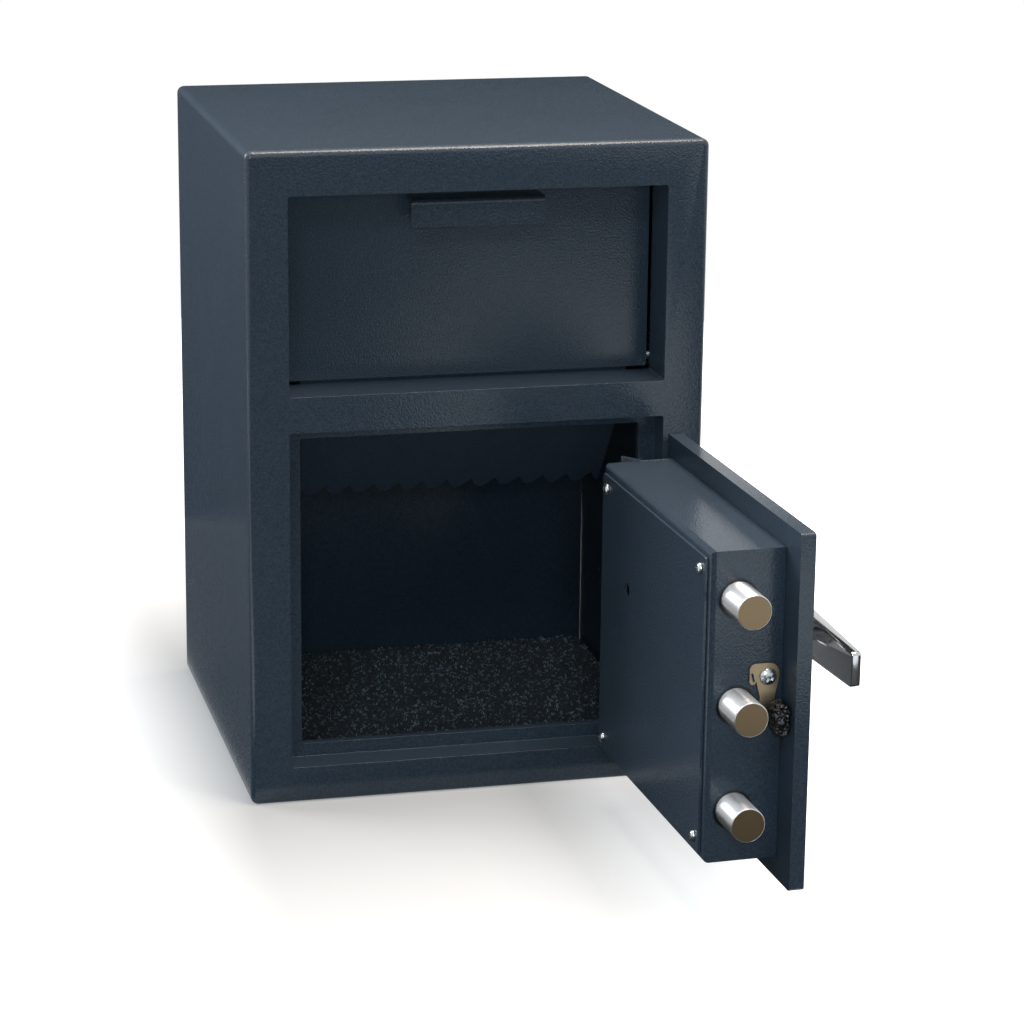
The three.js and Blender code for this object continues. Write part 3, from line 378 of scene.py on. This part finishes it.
BOLT_RADIUS, BOLT_LENGTH, BOLT_CHAMFER, BOLT_LIP = 12.5, 82.6, 0.6, 0.2
TOWARDS_JAMB = (-1, 0, 0)
bolt_profile = [
    (0, 0, 0), (BOLT_RADIUS, 0, 0), (BOLT_RADIUS, BOLT_LENGTH - BOLT_CHAMFER, 0),
    (BOLT_RADIUS - 0.9 * BOLT_CHAMFER, BOLT_LENGTH - BOLT_LIP, 0),
    (BOLT_RADIUS - BOLT_CHAMFER, BOLT_LENGTH, 1), (0, BOLT_LENGTH, 1),
]
bolt_tails = {}
for which in ("lower", "middle", "upper"):
    node = f"bolt_{which}"
    low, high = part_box(node)
    middle = door_turn.inverted() @ ((low + high) / 2)
    tail = (middle.x / MM + BOLT_LENGTH / 2, middle.y / MM, middle.z / MM)
    bolt = turned(f"{node}.turned", bolt_profile, tail, TOWARDS_JAMB, [turned_steel, faced])
    bolt.data.transform(door_turn)
    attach(bolt, "bolts")
    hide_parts(node)
    bolt_tails[which] = tail
    print(node, "tail at", tuple(round(c, 1) for c in tail))

# %% [markdown]
# The bolt holes are cut wide of the bolts, and the gap lies in shade, so it shows as a dark ring. The
# solid's holes fit close.
# So a thin black ring of painted shade lies on the housing round each bolt, and it stays on the door when
# the bolts move.

# %% Painted shade rings round the bolts
GAP_INNER, GAP_OUTER, GAP_PROUD = BOLT_RADIUS + 0.1, BOLT_RADIUS + 2.0, 0.12
gap_profile = [
    (GAP_INNER, 0, 0), (GAP_OUTER, 0, 0), (GAP_OUTER, GAP_PROUD, 0), (GAP_INNER, GAP_PROUD, 0),
    (GAP_INNER, 0, 0),
]
housing = frame["nodes"]["bolt_housing"].data
housing_side = min((door_turn.inverted() @ vertex.co).x for vertex in housing.vertices) / MM
for which, tail in bolt_tails.items():
    # Each ring is painted shade for the gap round a bolt, given the black of the rubber finish.
    ring = turned(f"bolt_gap_painted_shade_{which}", gap_profile, (housing_side, *tail[1:]), TOWARDS_JAMB, [rubber])
    ring.data.transform(door_turn)
    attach(ring, "door")
print("rings on the housing's side at", round(housing_side, 2), "mm")

# %% [markdown]
# Cross-head screws repeat, so a Geometry Nodes tree makes them: it cuts a cross into a domed head and sets
# one on each point that it is given. Its sizes are named inputs, and the cross takes shares of the head's.

# %% A tree for cross-head screws
def new_tree(name, sizes):
    tree = bpy.data.node_groups.new(name, "GeometryNodeTree")
    tree.interface.new_socket("Geometry", in_out="INPUT", socket_type="NodeSocketGeometry")
    for size in sizes:
        tree.interface.new_socket(size, in_out="INPUT", socket_type="NodeSocketFloat")
    tree.interface.new_socket("Geometry", in_out="OUTPUT", socket_type="NodeSocketGeometry")
    return tree, add(tree, "NodeGroupInput").outputs


def math_node(tree, operation, first, second):
    return add(tree, "ShaderNodeMath", {0: first, 1: second}, operation=operation).outputs[0]


def close_tree(tree, geometry, finish):
    real = add(tree, "GeometryNodeRealizeInstances", {"Geometry": geometry})
    dressed = add(tree, "GeometryNodeSetMaterial", {
        "Geometry": real.outputs["Geometry"], "Material": finish})
    add(tree, "NodeGroupOutput", {"Geometry": dressed.outputs["Geometry"]})


def grown(name, tree, seed_mesh, sizes):
    piece = bpy.data.objects.new(name, seed_mesh)
    scene.collection.objects.link(piece)
    pattern = piece.modifiers.new("pattern", "NODES")
    pattern.node_group = tree
    for item in tree.interface.items_tree:
        if item.in_out == "INPUT" and item.name in sizes:
            pattern[item.identifier] = sizes[item.name]
    return settle(piece)


CROSS_REACH, CROSS_WIDTH, CROSS_LEVEL = 1.15, 0.3, 0.95


def screw_tree(finish):
    tree, given = new_tree("cross_head_screws", ["Radius", "Height", "Shank", "Length"])
    dome = add(tree, "GeometryNodeMeshUVSphere", {"Segments": 32, "Rings": 16, "Radius": 1.0})
    squat = add(tree, "ShaderNodeCombineXYZ", {
        "X": given["Radius"], "Y": given["Radius"], "Z": given["Height"]})
    cap = add(tree, "GeometryNodeTransform", {
        "Geometry": dome.outputs["Mesh"], "Scale": squat.outputs["Vector"]})
    span = math_node(tree, "MULTIPLY", given["Radius"], 3.0)
    block_size = add(tree, "ShaderNodeCombineXYZ", {
        "X": span, "Y": span, "Z": math_node(tree, "MULTIPLY", given["Height"], 2.0)})
    block = add(tree, "GeometryNodeMeshCube", {"Size": block_size.outputs["Vector"]})
    drop = add(tree, "ShaderNodeCombineXYZ", {"Z": math_node(tree, "MULTIPLY", given["Height"], -1.0)})
    below = add(tree, "GeometryNodeTransform", {
        "Geometry": block.outputs["Mesh"], "Translation": drop.outputs["Vector"]})
    level = math_node(tree, "MULTIPLY", given["Height"], CROSS_LEVEL)
    lift = add(tree, "ShaderNodeCombineXYZ", {"Z": level})
    arms = []
    for wide, deep in ((CROSS_REACH, CROSS_WIDTH), (CROSS_WIDTH, CROSS_REACH)):
        size = add(tree, "ShaderNodeCombineXYZ", {
            "X": math_node(tree, "MULTIPLY", given["Radius"], wide),
            "Y": math_node(tree, "MULTIPLY", given["Radius"], deep),
            "Z": given["Height"]})
        cube = add(tree, "GeometryNodeMeshCube", {"Size": size.outputs["Vector"]})
        arms.append(add(tree, "GeometryNodeTransform", {
            "Geometry": cube.outputs["Mesh"], "Translation": lift.outputs["Vector"]}).outputs["Geometry"])
    head = add(tree, "GeometryNodeMeshBoolean", {
        "Mesh 1": cap.outputs["Geometry"]}, operation="DIFFERENCE")
    for tool in (below.outputs["Geometry"], *arms):
        tree.links.new(tool, head.inputs["Mesh 2"])
    shank = add(tree, "GeometryNodeMeshCylinder", {
        "Vertices": 20, "Radius": given["Shank"], "Depth": given["Length"]}, fill_type="TRIANGLE_FAN")
    sunk = add(tree, "ShaderNodeCombineXYZ", {
        "Z": math_node(tree, "ADD", math_node(tree, "MULTIPLY", given["Length"], -0.5), 0.2 * MM)})
    stem = add(tree, "GeometryNodeTransform", {
        "Geometry": shank.outputs["Mesh"], "Translation": sunk.outputs["Vector"]})
    screw = add(tree, "GeometryNodeJoinGeometry")
    tree.links.new(head.outputs["Mesh"], screw.inputs["Geometry"])
    tree.links.new(stem.outputs["Geometry"], screw.inputs["Geometry"])
    facing = add(tree, "GeometryNodeInputNamedAttribute", {"Name": "facing"}, data_type="FLOAT_VECTOR")
    upright = add(tree, "FunctionNodeAlignRotationToVector", {"Vector": facing.outputs[0]}, axis="Z")
    spin = add(tree, "FunctionNodeRandomValue", {"Min": 0.0, "Max": 1.5, "Seed": 4}, data_type="FLOAT")
    turn = add(tree, "FunctionNodeRotateRotation", {
        "Rotation": upright.outputs["Rotation"],
        "Rotate By": add(tree, "ShaderNodeCombineXYZ", {"Z": spin.outputs[1]}).outputs["Vector"],
    }, rotation_space="LOCAL")
    spots = add(tree, "GeometryNodeInstanceOnPoints", {
        "Points": given["Geometry"], "Instance": screw.outputs["Geometry"],
        "Rotation": turn.outputs["Rotation"]})
    close_tree(tree, spots.outputs["Instances"], finish)
    return tree


screws = screw_tree(zinc)
print("tree", screws.name, "has", len(screws.nodes), "nodes")

# %% [markdown]
# The cover is held by four pan-head screws and the catch by one, all zinc plated with a cross recess.
# A point with the way it faces stands for each, and takes the place and the size of that solid's head.

# %% Screws on the cover and the catch
def points_facing(name, places, facing):
    mesh = bpy.data.meshes.new(name)
    mesh.from_pydata([tuple(place) for place in places], [], [])
    way = mesh.attributes.new("facing", "FLOAT_VECTOR", "POINT")
    for item in way.data:
        item.vector = facing
    return mesh


COVER_FACING = door_turn.to_3x3() @ Vector((0, 1, 0))
EDGE_FACING = door_turn.to_3x3() @ Vector((-1, 0, 0))
screw_sizes = {f"cover_screw_{i}": (COVER_FACING, 4.2, 2.6, 2.0, 7.0) for i in (1, 2, 3, 4)}
screw_sizes["catch_screw"] = (EDGE_FACING, 6.2, 3.0, 2.0, 5.6)
for node, (facing, radius, height, shank, length) in screw_sizes.items():
    low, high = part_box(node)
    seat = (low + high) / 2 + facing * ((length + height) / 2 - height) * MM
    screw = grown(f"{node}.cross_head", screws, points_facing(node, [seat], facing), {
        "Radius": radius * MM, "Height": height * MM, "Shank": shank * MM, "Length": length * MM})
    smooth(screw.data, 32)
    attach(screw, "door")
    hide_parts(node)
print("set", len(screw_sizes), "screws")

# %% [markdown]
# The hinge lugs are welded to the frame. A weld is a row of overlapping ripples, each a drop of metal that
# froze as the torch moved on, and the paint covers it like everything else.
# A tree lays drops along the back edges of the lugs, a little uneven, as a hand does.

# %% Weld beads
def weld_tree(finish):
    tree, given = new_tree("weld_bead", ["Width", "Step"])
    drop = add(tree, "GeometryNodeMeshUVSphere", {"Segments": 12, "Rings": 8, "Radius": given["Width"]})
    row = add(tree, "GeometryNodeMeshToCurve", {"Mesh": given["Geometry"]})
    spaced = add(tree, "GeometryNodeCurveToPoints", {
        "Curve": row.outputs["Curve"], "Length": given["Step"]}, mode="LENGTH")
    size = add(tree, "FunctionNodeRandomValue", {2: 0.85, 3: 1.15, "Seed": 23}, data_type="FLOAT")
    drops = add(tree, "GeometryNodeInstanceOnPoints", {
        "Points": spaced.outputs["Points"], "Instance": drop.outputs["Mesh"], "Scale": size.outputs[1]})
    close_tree(tree, drops.outputs["Instances"], finish)
    return tree


def edge_line(name, start, end):
    mesh = bpy.data.meshes.new(name)
    mesh.from_pydata([start, end], [(0, 1)], [])
    return mesh


WELD_INNER, WELD_OUTER, WELD_END = 1.2, 2.2, 2.0
welds = weld_tree(coat)
for which in ("lower", "upper"):
    low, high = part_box(f"hinge_lug_{which}")
    for side, x in (("inner", low.x + WELD_INNER * MM), ("outer", high.x - WELD_OUTER * MM)):
        name = f"lug_weld_{which}_{side}"
        line = edge_line(name, (x, high.y, low.z + WELD_END * MM), (x, high.y, high.z - WELD_END * MM))
        bead = grown(name, welds, line, {"Width": 1.6 * MM, "Step": 1.1 * MM})
        smooth(bead.data, 70)
        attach(bead, "cabinet")
        print("laid", name)

# %% [markdown]
# The dial is divided into a hundred, with longer marks at the fives and tens and a number at each ten.
# The marks are engraved and filled with white paint on the dial's cone. They are the only lettering.
# A tree sets the strokes on a ring of points, and the numbers are plain type turned into mesh.

# %% Dial marks
MARKS = 100
RIM_RADIUS, RIM_HEIGHT, CONE_RADIUS, CONE_HEIGHT = 31.0, 3.2, 19.5, 5.7
MARK_RING, NUMBER_RING = RIM_RADIUS - 0.6, 23.6
dial_turn = Vector(joints["dial_spin"]["axis"]).to_track_quat("Z", "Y").to_matrix().to_4x4()
dial_frame = Matrix.Translation(joints["dial_spin"]["pos_m"]) @ dial_turn
cone_lean = math.atan2(CONE_HEIGHT - RIM_HEIGHT, RIM_RADIUS - CONE_RADIUS)


def on_cone(mark, radius):
    angle = math.pi / 2 - math.tau * mark / MARKS
    share = (RIM_RADIUS - radius) / (RIM_RADIUS - CONE_RADIUS)
    rise = RIM_HEIGHT + share * (CONE_HEIGHT - RIM_HEIGHT)
    spot = Vector((radius * math.cos(angle), radius * math.sin(angle), rise)) * MM
    turn = Matrix.Rotation(angle - math.pi / 2, 4, "Z") @ Matrix.Rotation(-cone_lean, 4, "X")
    return dial_frame @ Matrix.Translation(spot) @ turn


def mark_tree(finish):
    tree, given = new_tree("dial_marks", ["Stroke", "Short", "Long"])
    place_number = add(tree, "GeometryNodeInputIndex")
    fifth = math_node(tree, "MODULO", place_number.outputs["Index"], 5.0)
    is_long = math_node(tree, "LESS_THAN", fifth, 0.5)
    reach = add(tree, "ShaderNodeMapRange", {
        "Value": is_long, "To Min": given["Short"], "To Max": given["Long"]})
    size = add(tree, "ShaderNodeCombineXYZ", {
        "X": given["Stroke"], "Y": reach.outputs["Result"], "Z": 0.2 * MM})
    half = add(tree, "ShaderNodeCombineXYZ", {"Y": -0.5})
    stroke = add(tree, "GeometryNodeTransform", {
        "Geometry": add(tree, "GeometryNodeMeshCube", {"Size": (1.0, 1.0, 1.0)}).outputs["Mesh"],
        "Translation": half.outputs["Vector"]})
    facing = add(tree, "GeometryNodeInputNamedAttribute", {"Name": "turn"}, data_type="QUATERNION")
    strokes = add(tree, "GeometryNodeInstanceOnPoints", {
        "Points": given["Geometry"], "Instance": stroke.outputs["Geometry"],
        "Rotation": facing.outputs[0], "Scale": size.outputs["Vector"]})
    close_tree(tree, strokes.outputs["Instances"], finish)
    return tree


rim_points = bpy.data.meshes.new("dial_rim_points")
rim_frames = [on_cone(mark, MARK_RING) for mark in range(MARKS)]
rim_points.from_pydata([tuple(m.translation) for m in rim_frames], [], [])
turns = rim_points.attributes.new("turn", "QUATERNION", "POINT")
for item, stand in zip(turns.data, rim_frames):
    item.value = stand.to_quaternion()
marks = grown("dial_marks", mark_tree(mark_paint), rim_points, {
    "Stroke": 0.35 * MM, "Short": 2.2 * MM, "Long": 4.2 * MM})
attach(marks, "dial")

for mark in range(0, MARKS, 10):
    words = bpy.data.curves.new(f"dial_number_{mark}", "FONT")
    words.body = str(mark)
    words.align_x, words.align_y = "CENTER", "CENTER"
    words.size, words.extrude = 4.4 * MM, 0.08 * MM
    number = bpy.data.objects.new(f"dial_number_{mark}", words)
    scene.collection.objects.link(number)
    bpy.context.view_layer.update()
    shape = bpy.data.meshes.new_from_object(number)
    bpy.data.objects.remove(number)
    shape.transform(on_cone(mark, NUMBER_RING))
    shape.materials.clear()
    shape.materials.append(mark_paint)
    number = bpy.data.objects.new(f"dial_number_{mark}", shape)
    scene.collection.objects.link(number)
    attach(number, "dial")
print("marked the dial in", len(rim_frames), "parts")

# %% [markdown]
# Dark needle felt covers the floor. Its fibres are black, charcoal and pale grey, which gives the speckle.
# Each curl of the pile carries its own tone, and the finish reads it and turns it into one of those greys.

# %% Felt finish
def felt(name):
    finish, tree, place = new_finish(name)
    tuft = add(tree, "ShaderNodeAttribute", attribute_name="fibre_tone")
    fleck = math_node(tree, "MULTIPLY", noise(tree, place, 1.5, 2.0), 0.25)
    both = math_node(tree, "ADD", tuft.outputs["Fac"], fleck)
    ramp = add(tree, "ShaderNodeValToRGB", {"Fac": both})
    ramp.color_ramp.elements[0].position = 0.3
    ramp.color_ramp.elements[0].color = linear("#2b323b")
    ramp.color_ramp.elements[1].position = 1.0
    ramp.color_ramp.elements[1].color = linear("#c0cfdd")
    middle = ramp.color_ramp.elements.new(0.7)
    middle.color = linear("#6b7b8b")
    close_finish(tree, {
        "Base Color": ramp.outputs["Color"], "Roughness": 0.92, "Sheen Weight": 0.15,
        "Specular IOR Level": 0.2})
    return finish


felt_finish = felt("needle_felt_charcoal")
print("made", felt_finish.name)

# %% [markdown]
# The felt's fibres are punched into a mat and stand up as short curls.
# A tree scatters the curls over the mat with a fixed seed and gives each its tone.
# Real fibres are finer than a pixel here, so these are drawn about 0.5 mm thick.

# %% Carpet mat with its pile
def pile_tree(finish):
    tree, given = new_tree("felt_pile", ["Density", "Length", "Thickness"])
    up = add(tree, "GeometryNodeInputNormal")
    level = add(tree, "ShaderNodeSeparateXYZ", {"Vector": up.outputs["Normal"]})
    top_only = add(tree, "FunctionNodeCompare", {
        0: level.outputs["Z"], 1: 0.5}, data_type="FLOAT", operation="GREATER_THAN")
    roots = add(tree, "GeometryNodeDistributePointsOnFaces", {
        "Mesh": given["Geometry"], "Selection": top_only.outputs["Result"],
        "Density": given["Density"], "Seed": 7})
    half = math_node(tree, "MULTIPLY", given["Length"], 0.5)
    arch = add(tree, "GeometryNodeCurvePrimitiveBezierSegment", {
        "Resolution": 3,
        "Start": (0.0, 0.0, 0.0),
        "Start Handle": add(tree, "ShaderNodeCombineXYZ", {"Z": given["Length"]}).outputs["Vector"],
        "End Handle": add(tree, "ShaderNodeCombineXYZ", {
            "X": half, "Z": given["Length"]}).outputs["Vector"],
        "End": add(tree, "ShaderNodeCombineXYZ", {"X": given["Length"], "Z": 0.0}).outputs["Vector"]})
    section = add(tree, "GeometryNodeCurvePrimitiveCircle", {"Resolution": 3, "Radius": given["Thickness"]})
    curl = add(tree, "GeometryNodeCurveToMesh", {
        "Curve": arch.outputs["Curve"], "Profile Curve": section.outputs["Curve"], "Fill Caps": True})
    spin = add(tree, "FunctionNodeRandomValue", {
        "Min": (-0.7, -0.7, 0.0), "Max": (0.7, 0.7, math.tau), "Seed": 11}, data_type="FLOAT_VECTOR")
    size = add(tree, "FunctionNodeRandomValue", {2: 0.5, 3: 1.25, "Seed": 13}, data_type="FLOAT")
    curls = add(tree, "GeometryNodeInstanceOnPoints", {
        "Points": roots.outputs["Points"], "Instance": curl.outputs["Mesh"],
        "Rotation": spin.outputs[0], "Scale": size.outputs[1]})
    tone = add(tree, "FunctionNodeRandomValue", {2: 0.0, 3: 1.0, "Seed": 17}, data_type="FLOAT")
    toned = add(tree, "GeometryNodeStoreNamedAttribute", {
        "Geometry": curls.outputs["Instances"], "Name": "fibre_tone", "Value": tone.outputs[1]},
        data_type="FLOAT", domain="INSTANCE")
    both = add(tree, "GeometryNodeJoinGeometry")
    tree.links.new(toned.outputs["Geometry"], both.inputs["Geometry"])
    tree.links.new(given["Geometry"], both.inputs["Geometry"])
    close_tree(tree, both.outputs["Geometry"], finish)
    return tree


mat_mesh = frame["nodes"]["carpet_mat"].data.copy()
pile = grown("carpet_pile", pile_tree(felt_finish), mat_mesh, {
    "Density": 96000.0, "Length": 2.2 * MM, "Thickness": 0.24 * MM})
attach(pile, "cabinet")
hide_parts("carpet_mat")
print("carpet pile has", len(pile.data.polygons), "faces")

# %% [markdown]
# The camera stands where the photographer's did, a little above the safe and to its left, with a long lens.
# Its place is in metres, its lens in millimetres and its turn in degrees.

# %% Camera
FOCAL_LENGTH, SENSOR_WIDTH = 114.88, 36
CAMERA_PLACE = (-0.5575, -2.51695, 0.8994)
CAMERA_DEGREES = (74.387, -0.598, -13.816)
lens = bpy.data.cameras.new("studio_camera")
lens.lens = FOCAL_LENGTH
lens.sensor_width = SENSOR_WIDTH
camera = bpy.data.objects.new("studio_camera", lens)
camera.location = CAMERA_PLACE
camera.rotation_euler = [math.radians(angle) for angle in CAMERA_DEGREES]
scene.collection.objects.link(camera)
scene.camera = camera
print("camera at", tuple(camera.location))

# %% [markdown]
# The floor is plain white paper. It takes the shadow, and is lifted to white only for rays from the
# camera, mirrors and glass, so that the lamps can stay at a plain level.
# The lift grows with the distance from the safe's base, so the sheet is darker close to the base.
# That is painted shade, added to the real shadow that the lamps cast.
# That distance is what is left of a place's coordinates past the base's half sizes, weighted along each
# axis. More lift comes in on the right: painted light that lightens the open door's shadow on the sheet.
# From here on, places and sizes are in metres.

# %% Floor and world
def white_only(tree):
    path = add(tree, "ShaderNodeLightPath").outputs
    some = math_node(tree, "ADD", path["Is Camera Ray"], path["Is Glossy Ray"])
    every = math_node(tree, "ADD", some, path["Is Transmission Ray"])
    return math_node(tree, "MINIMUM", every, 1.0)


paper, tree, place = new_finish("white_studio_paper")
fibre = add(tree, "ShaderNodeMapRange", {"Value": noise(tree, place, 3, 2.0), "To Min": 0.9, "To Max": 1.0})
sheet = add(tree, "ShaderNodeBsdfDiffuse", {
    "Color": linear("#b2b2b2"), "Roughness": fibre.outputs["Result"]})
FLOOR_RADIUS, FLOOR_DROP = 1.6, 0.0002
BASE_SHIFT, BASE_HALF, FALL = (0.0, 0.01, 0.0), (0.178, 0.181, 0.0), (7.0, 1.3, 0.0)
steps = (("ADD", BASE_SHIFT), ("ABSOLUTE", None), ("SUBTRACT", BASE_HALF), ("MAXIMUM", (0.0, 0.0, 0.0)),
         ("MULTIPLY", FALL))
offset = place
for operation, other in steps:
    feeds = {0: offset} if other is None else {0: offset, 1: other}
    offset = add(tree, "ShaderNodeVectorMath", feeds, operation=operation).outputs["Vector"]
away = add(tree, "ShaderNodeVectorMath", {0: offset}, operation="LENGTH")
# Painted shade: the lift is least next to the base, so the sheet is darkest there.
rise = add(tree, "ShaderNodeMapRange", {
    "Value": away.outputs["Value"], "To Min": 0.24, "To Max": 1.3})
across = add(tree, "ShaderNodeSeparateXYZ", {"Vector": place}).outputs["X"]
# Painted light: the sheet beside and under the open door is lifted out of the door's shadow.
painted_light_by_door = add(tree, "ShaderNodeMapRange", {
    "Value": across, "From Min": 0.04, "From Max": 0.16, "To Min": 0.0, "To Max": 0.5})
lifted = math_node(tree, "ADD", rise.outputs["Result"], painted_light_by_door.outputs["Result"])
lift = add(tree, "ShaderNodeEmission", {
    "Color": (1.0, 1.0, 1.0, 1.0), "Strength": math_node(tree, "MULTIPLY", white_only(tree), lifted)})
both = add(tree, "ShaderNodeAddShader", {0: sheet.outputs["BSDF"], 1: lift.outputs["Emission"]})
add(tree, "ShaderNodeOutputMaterial", {"Surface": both.outputs["Shader"]})

bpy.ops.mesh.primitive_circle_add(
    vertices=96, radius=FLOOR_RADIUS, fill_type="NGON", location=(0, 0, -FLOOR_DROP))
floor = bpy.context.object
floor.name = "studio_floor"
floor.data.materials.append(paper)

world = bpy.data.worlds.new("studio_world")
scene.world = world
world.use_nodes = True
tree = world.node_tree
tree.nodes.clear()
dim = add(tree, "ShaderNodeBackground", {"Color": (0.95, 0.98, 1.0, 1.0), "Strength": 0.03})
bright = add(tree, "ShaderNodeBackground", {"Color": (1.0, 1.0, 1.0, 1.0), "Strength": 1.0})
sky = add(tree, "ShaderNodeMixShader", {
    0: white_only(tree), 1: dim.outputs["Background"], 2: bright.outputs["Background"]})
add(tree, "ShaderNodeOutputWorld", {"Surface": sky.outputs["Shader"]})
print("floor and world set")

# %% [markdown]
# A large softbox hangs above the safe and gives the bright top. A small one in front of it draws the bends.
# One behind at the left lights the side. Weak ones at the left, in front and on the floor open the shadows.
# Of the two in front, the high one draws the shadow under the pull and the low one reaches the back wall.
# Glossy paint would mirror the white paper and look grey. Black velvet sheets, seen by reflections alone,
# keep it dark, which is what a studio does with black card.

# %% Lamps
# each call gives the place, the point aimed at, the width in metres, the power in watts and the colour
def softbox(name, place, aim, size, power, colour):
    lamp = bpy.data.lights.new(name, "AREA")
    lamp.shape = "SQUARE"
    lamp.size = size
    lamp.energy = power
    lamp.color = colour
    holder = bpy.data.objects.new(name, lamp)
    holder.location = place
    holder.rotation_euler = (Vector(aim) - Vector(place)).to_track_quat("-Z", "Y").to_euler()
    scene.collection.objects.link(holder)
    print(name, power, "W")


softbox("softbox_top", (0.3, -0.1, 2.2), (0, -0.1, 0.2), 1.1, 44, (1.0, 0.84, 0.71))
softbox("softbox_key", (0.45, -0.85, 2.2), (0, -0.2, 0.2), 0.3, 9, (1.0, 0.95, 0.9))
softbox("softbox_back_left", (-1.5, 0.9, 1.1), (0, 0, 0.3), 1.0, 38, (0.94, 0.97, 1.0))
softbox("softbox_left", (-2.2, -0.5, 1.0), (0, 0, 0.25), 0.9, 1.5, (0.7, 0.88, 1.0))
softbox("softbox_front_high", (-0.9, -2.1, 1.9), (0.1, -0.3, 0.25), 0.4, 7, (0.75, 0.92, 1.0))
softbox("softbox_front_low", (-0.5, -2.7, 0.95), (0.1, -0.2, 0.2), 0.4, 10, (0.75, 0.92, 1.0))
softbox("floor_bounce", (0.36, -1.02, 0.02), (0.2, -0.4, 0.3), 0.4, 0.8, (0.9, 0.96, 1.0))

# %% [markdown]
# A drape is one flat sheet, either laid just above the floor or hung upright across the room.
# It is hidden from the camera and from soft light and casts no shadow, so reflections alone see it.

# %% Velvet sheets
FLOOR_GAP = 0.004


def laid(x, y):
    return [(*corner, FLOOR_GAP) for corner in ((x[0], y[0]), (x[1], y[0]), (x[1], y[1]), (x[0], y[1]))]


def hung(x, y, z):
    return [(x[0], y, z[0]), (x[1], y, z[0]), (x[1], y, z[1]), (x[0], y, z[1])]


def drape(name, corners):
    mesh = bpy.data.meshes.new(name)
    mesh.from_pydata(corners, [], [(0, 1, 2, 3)])
    mesh.materials.append(black_velvet)
    panel = bpy.data.objects.new(name, mesh)
    panel.visible_camera = False
    panel.visible_diffuse = False
    panel.visible_shadow = False
    scene.collection.objects.link(panel)
    print(name)


drape("drape_back_low", hung((-1.8, 0.36), 0.6, (0.01, 0.63)))
drape("drape_back_high", hung((-0.9, 0.7), 0.19, (0.506, 0.72)))
drape("drape_front", laid((-1.2, 2.4), (-3.4, -0.52)))
drape("drape_front_wall", hung((-1.2, 2.0), -3.1, (0.01, 0.4)))
drape("drape_door", laid((-0.25, 0.15), (-0.52, -0.19)))
drape("drape_left", laid((-1.3, -0.18), (-0.25, 1.2)))

# %% [markdown]
# The picture is shown with the plain view transform, so that a colour comes out as it is written.

# %% Finish
scene.view_settings.view_transform = "Standard"
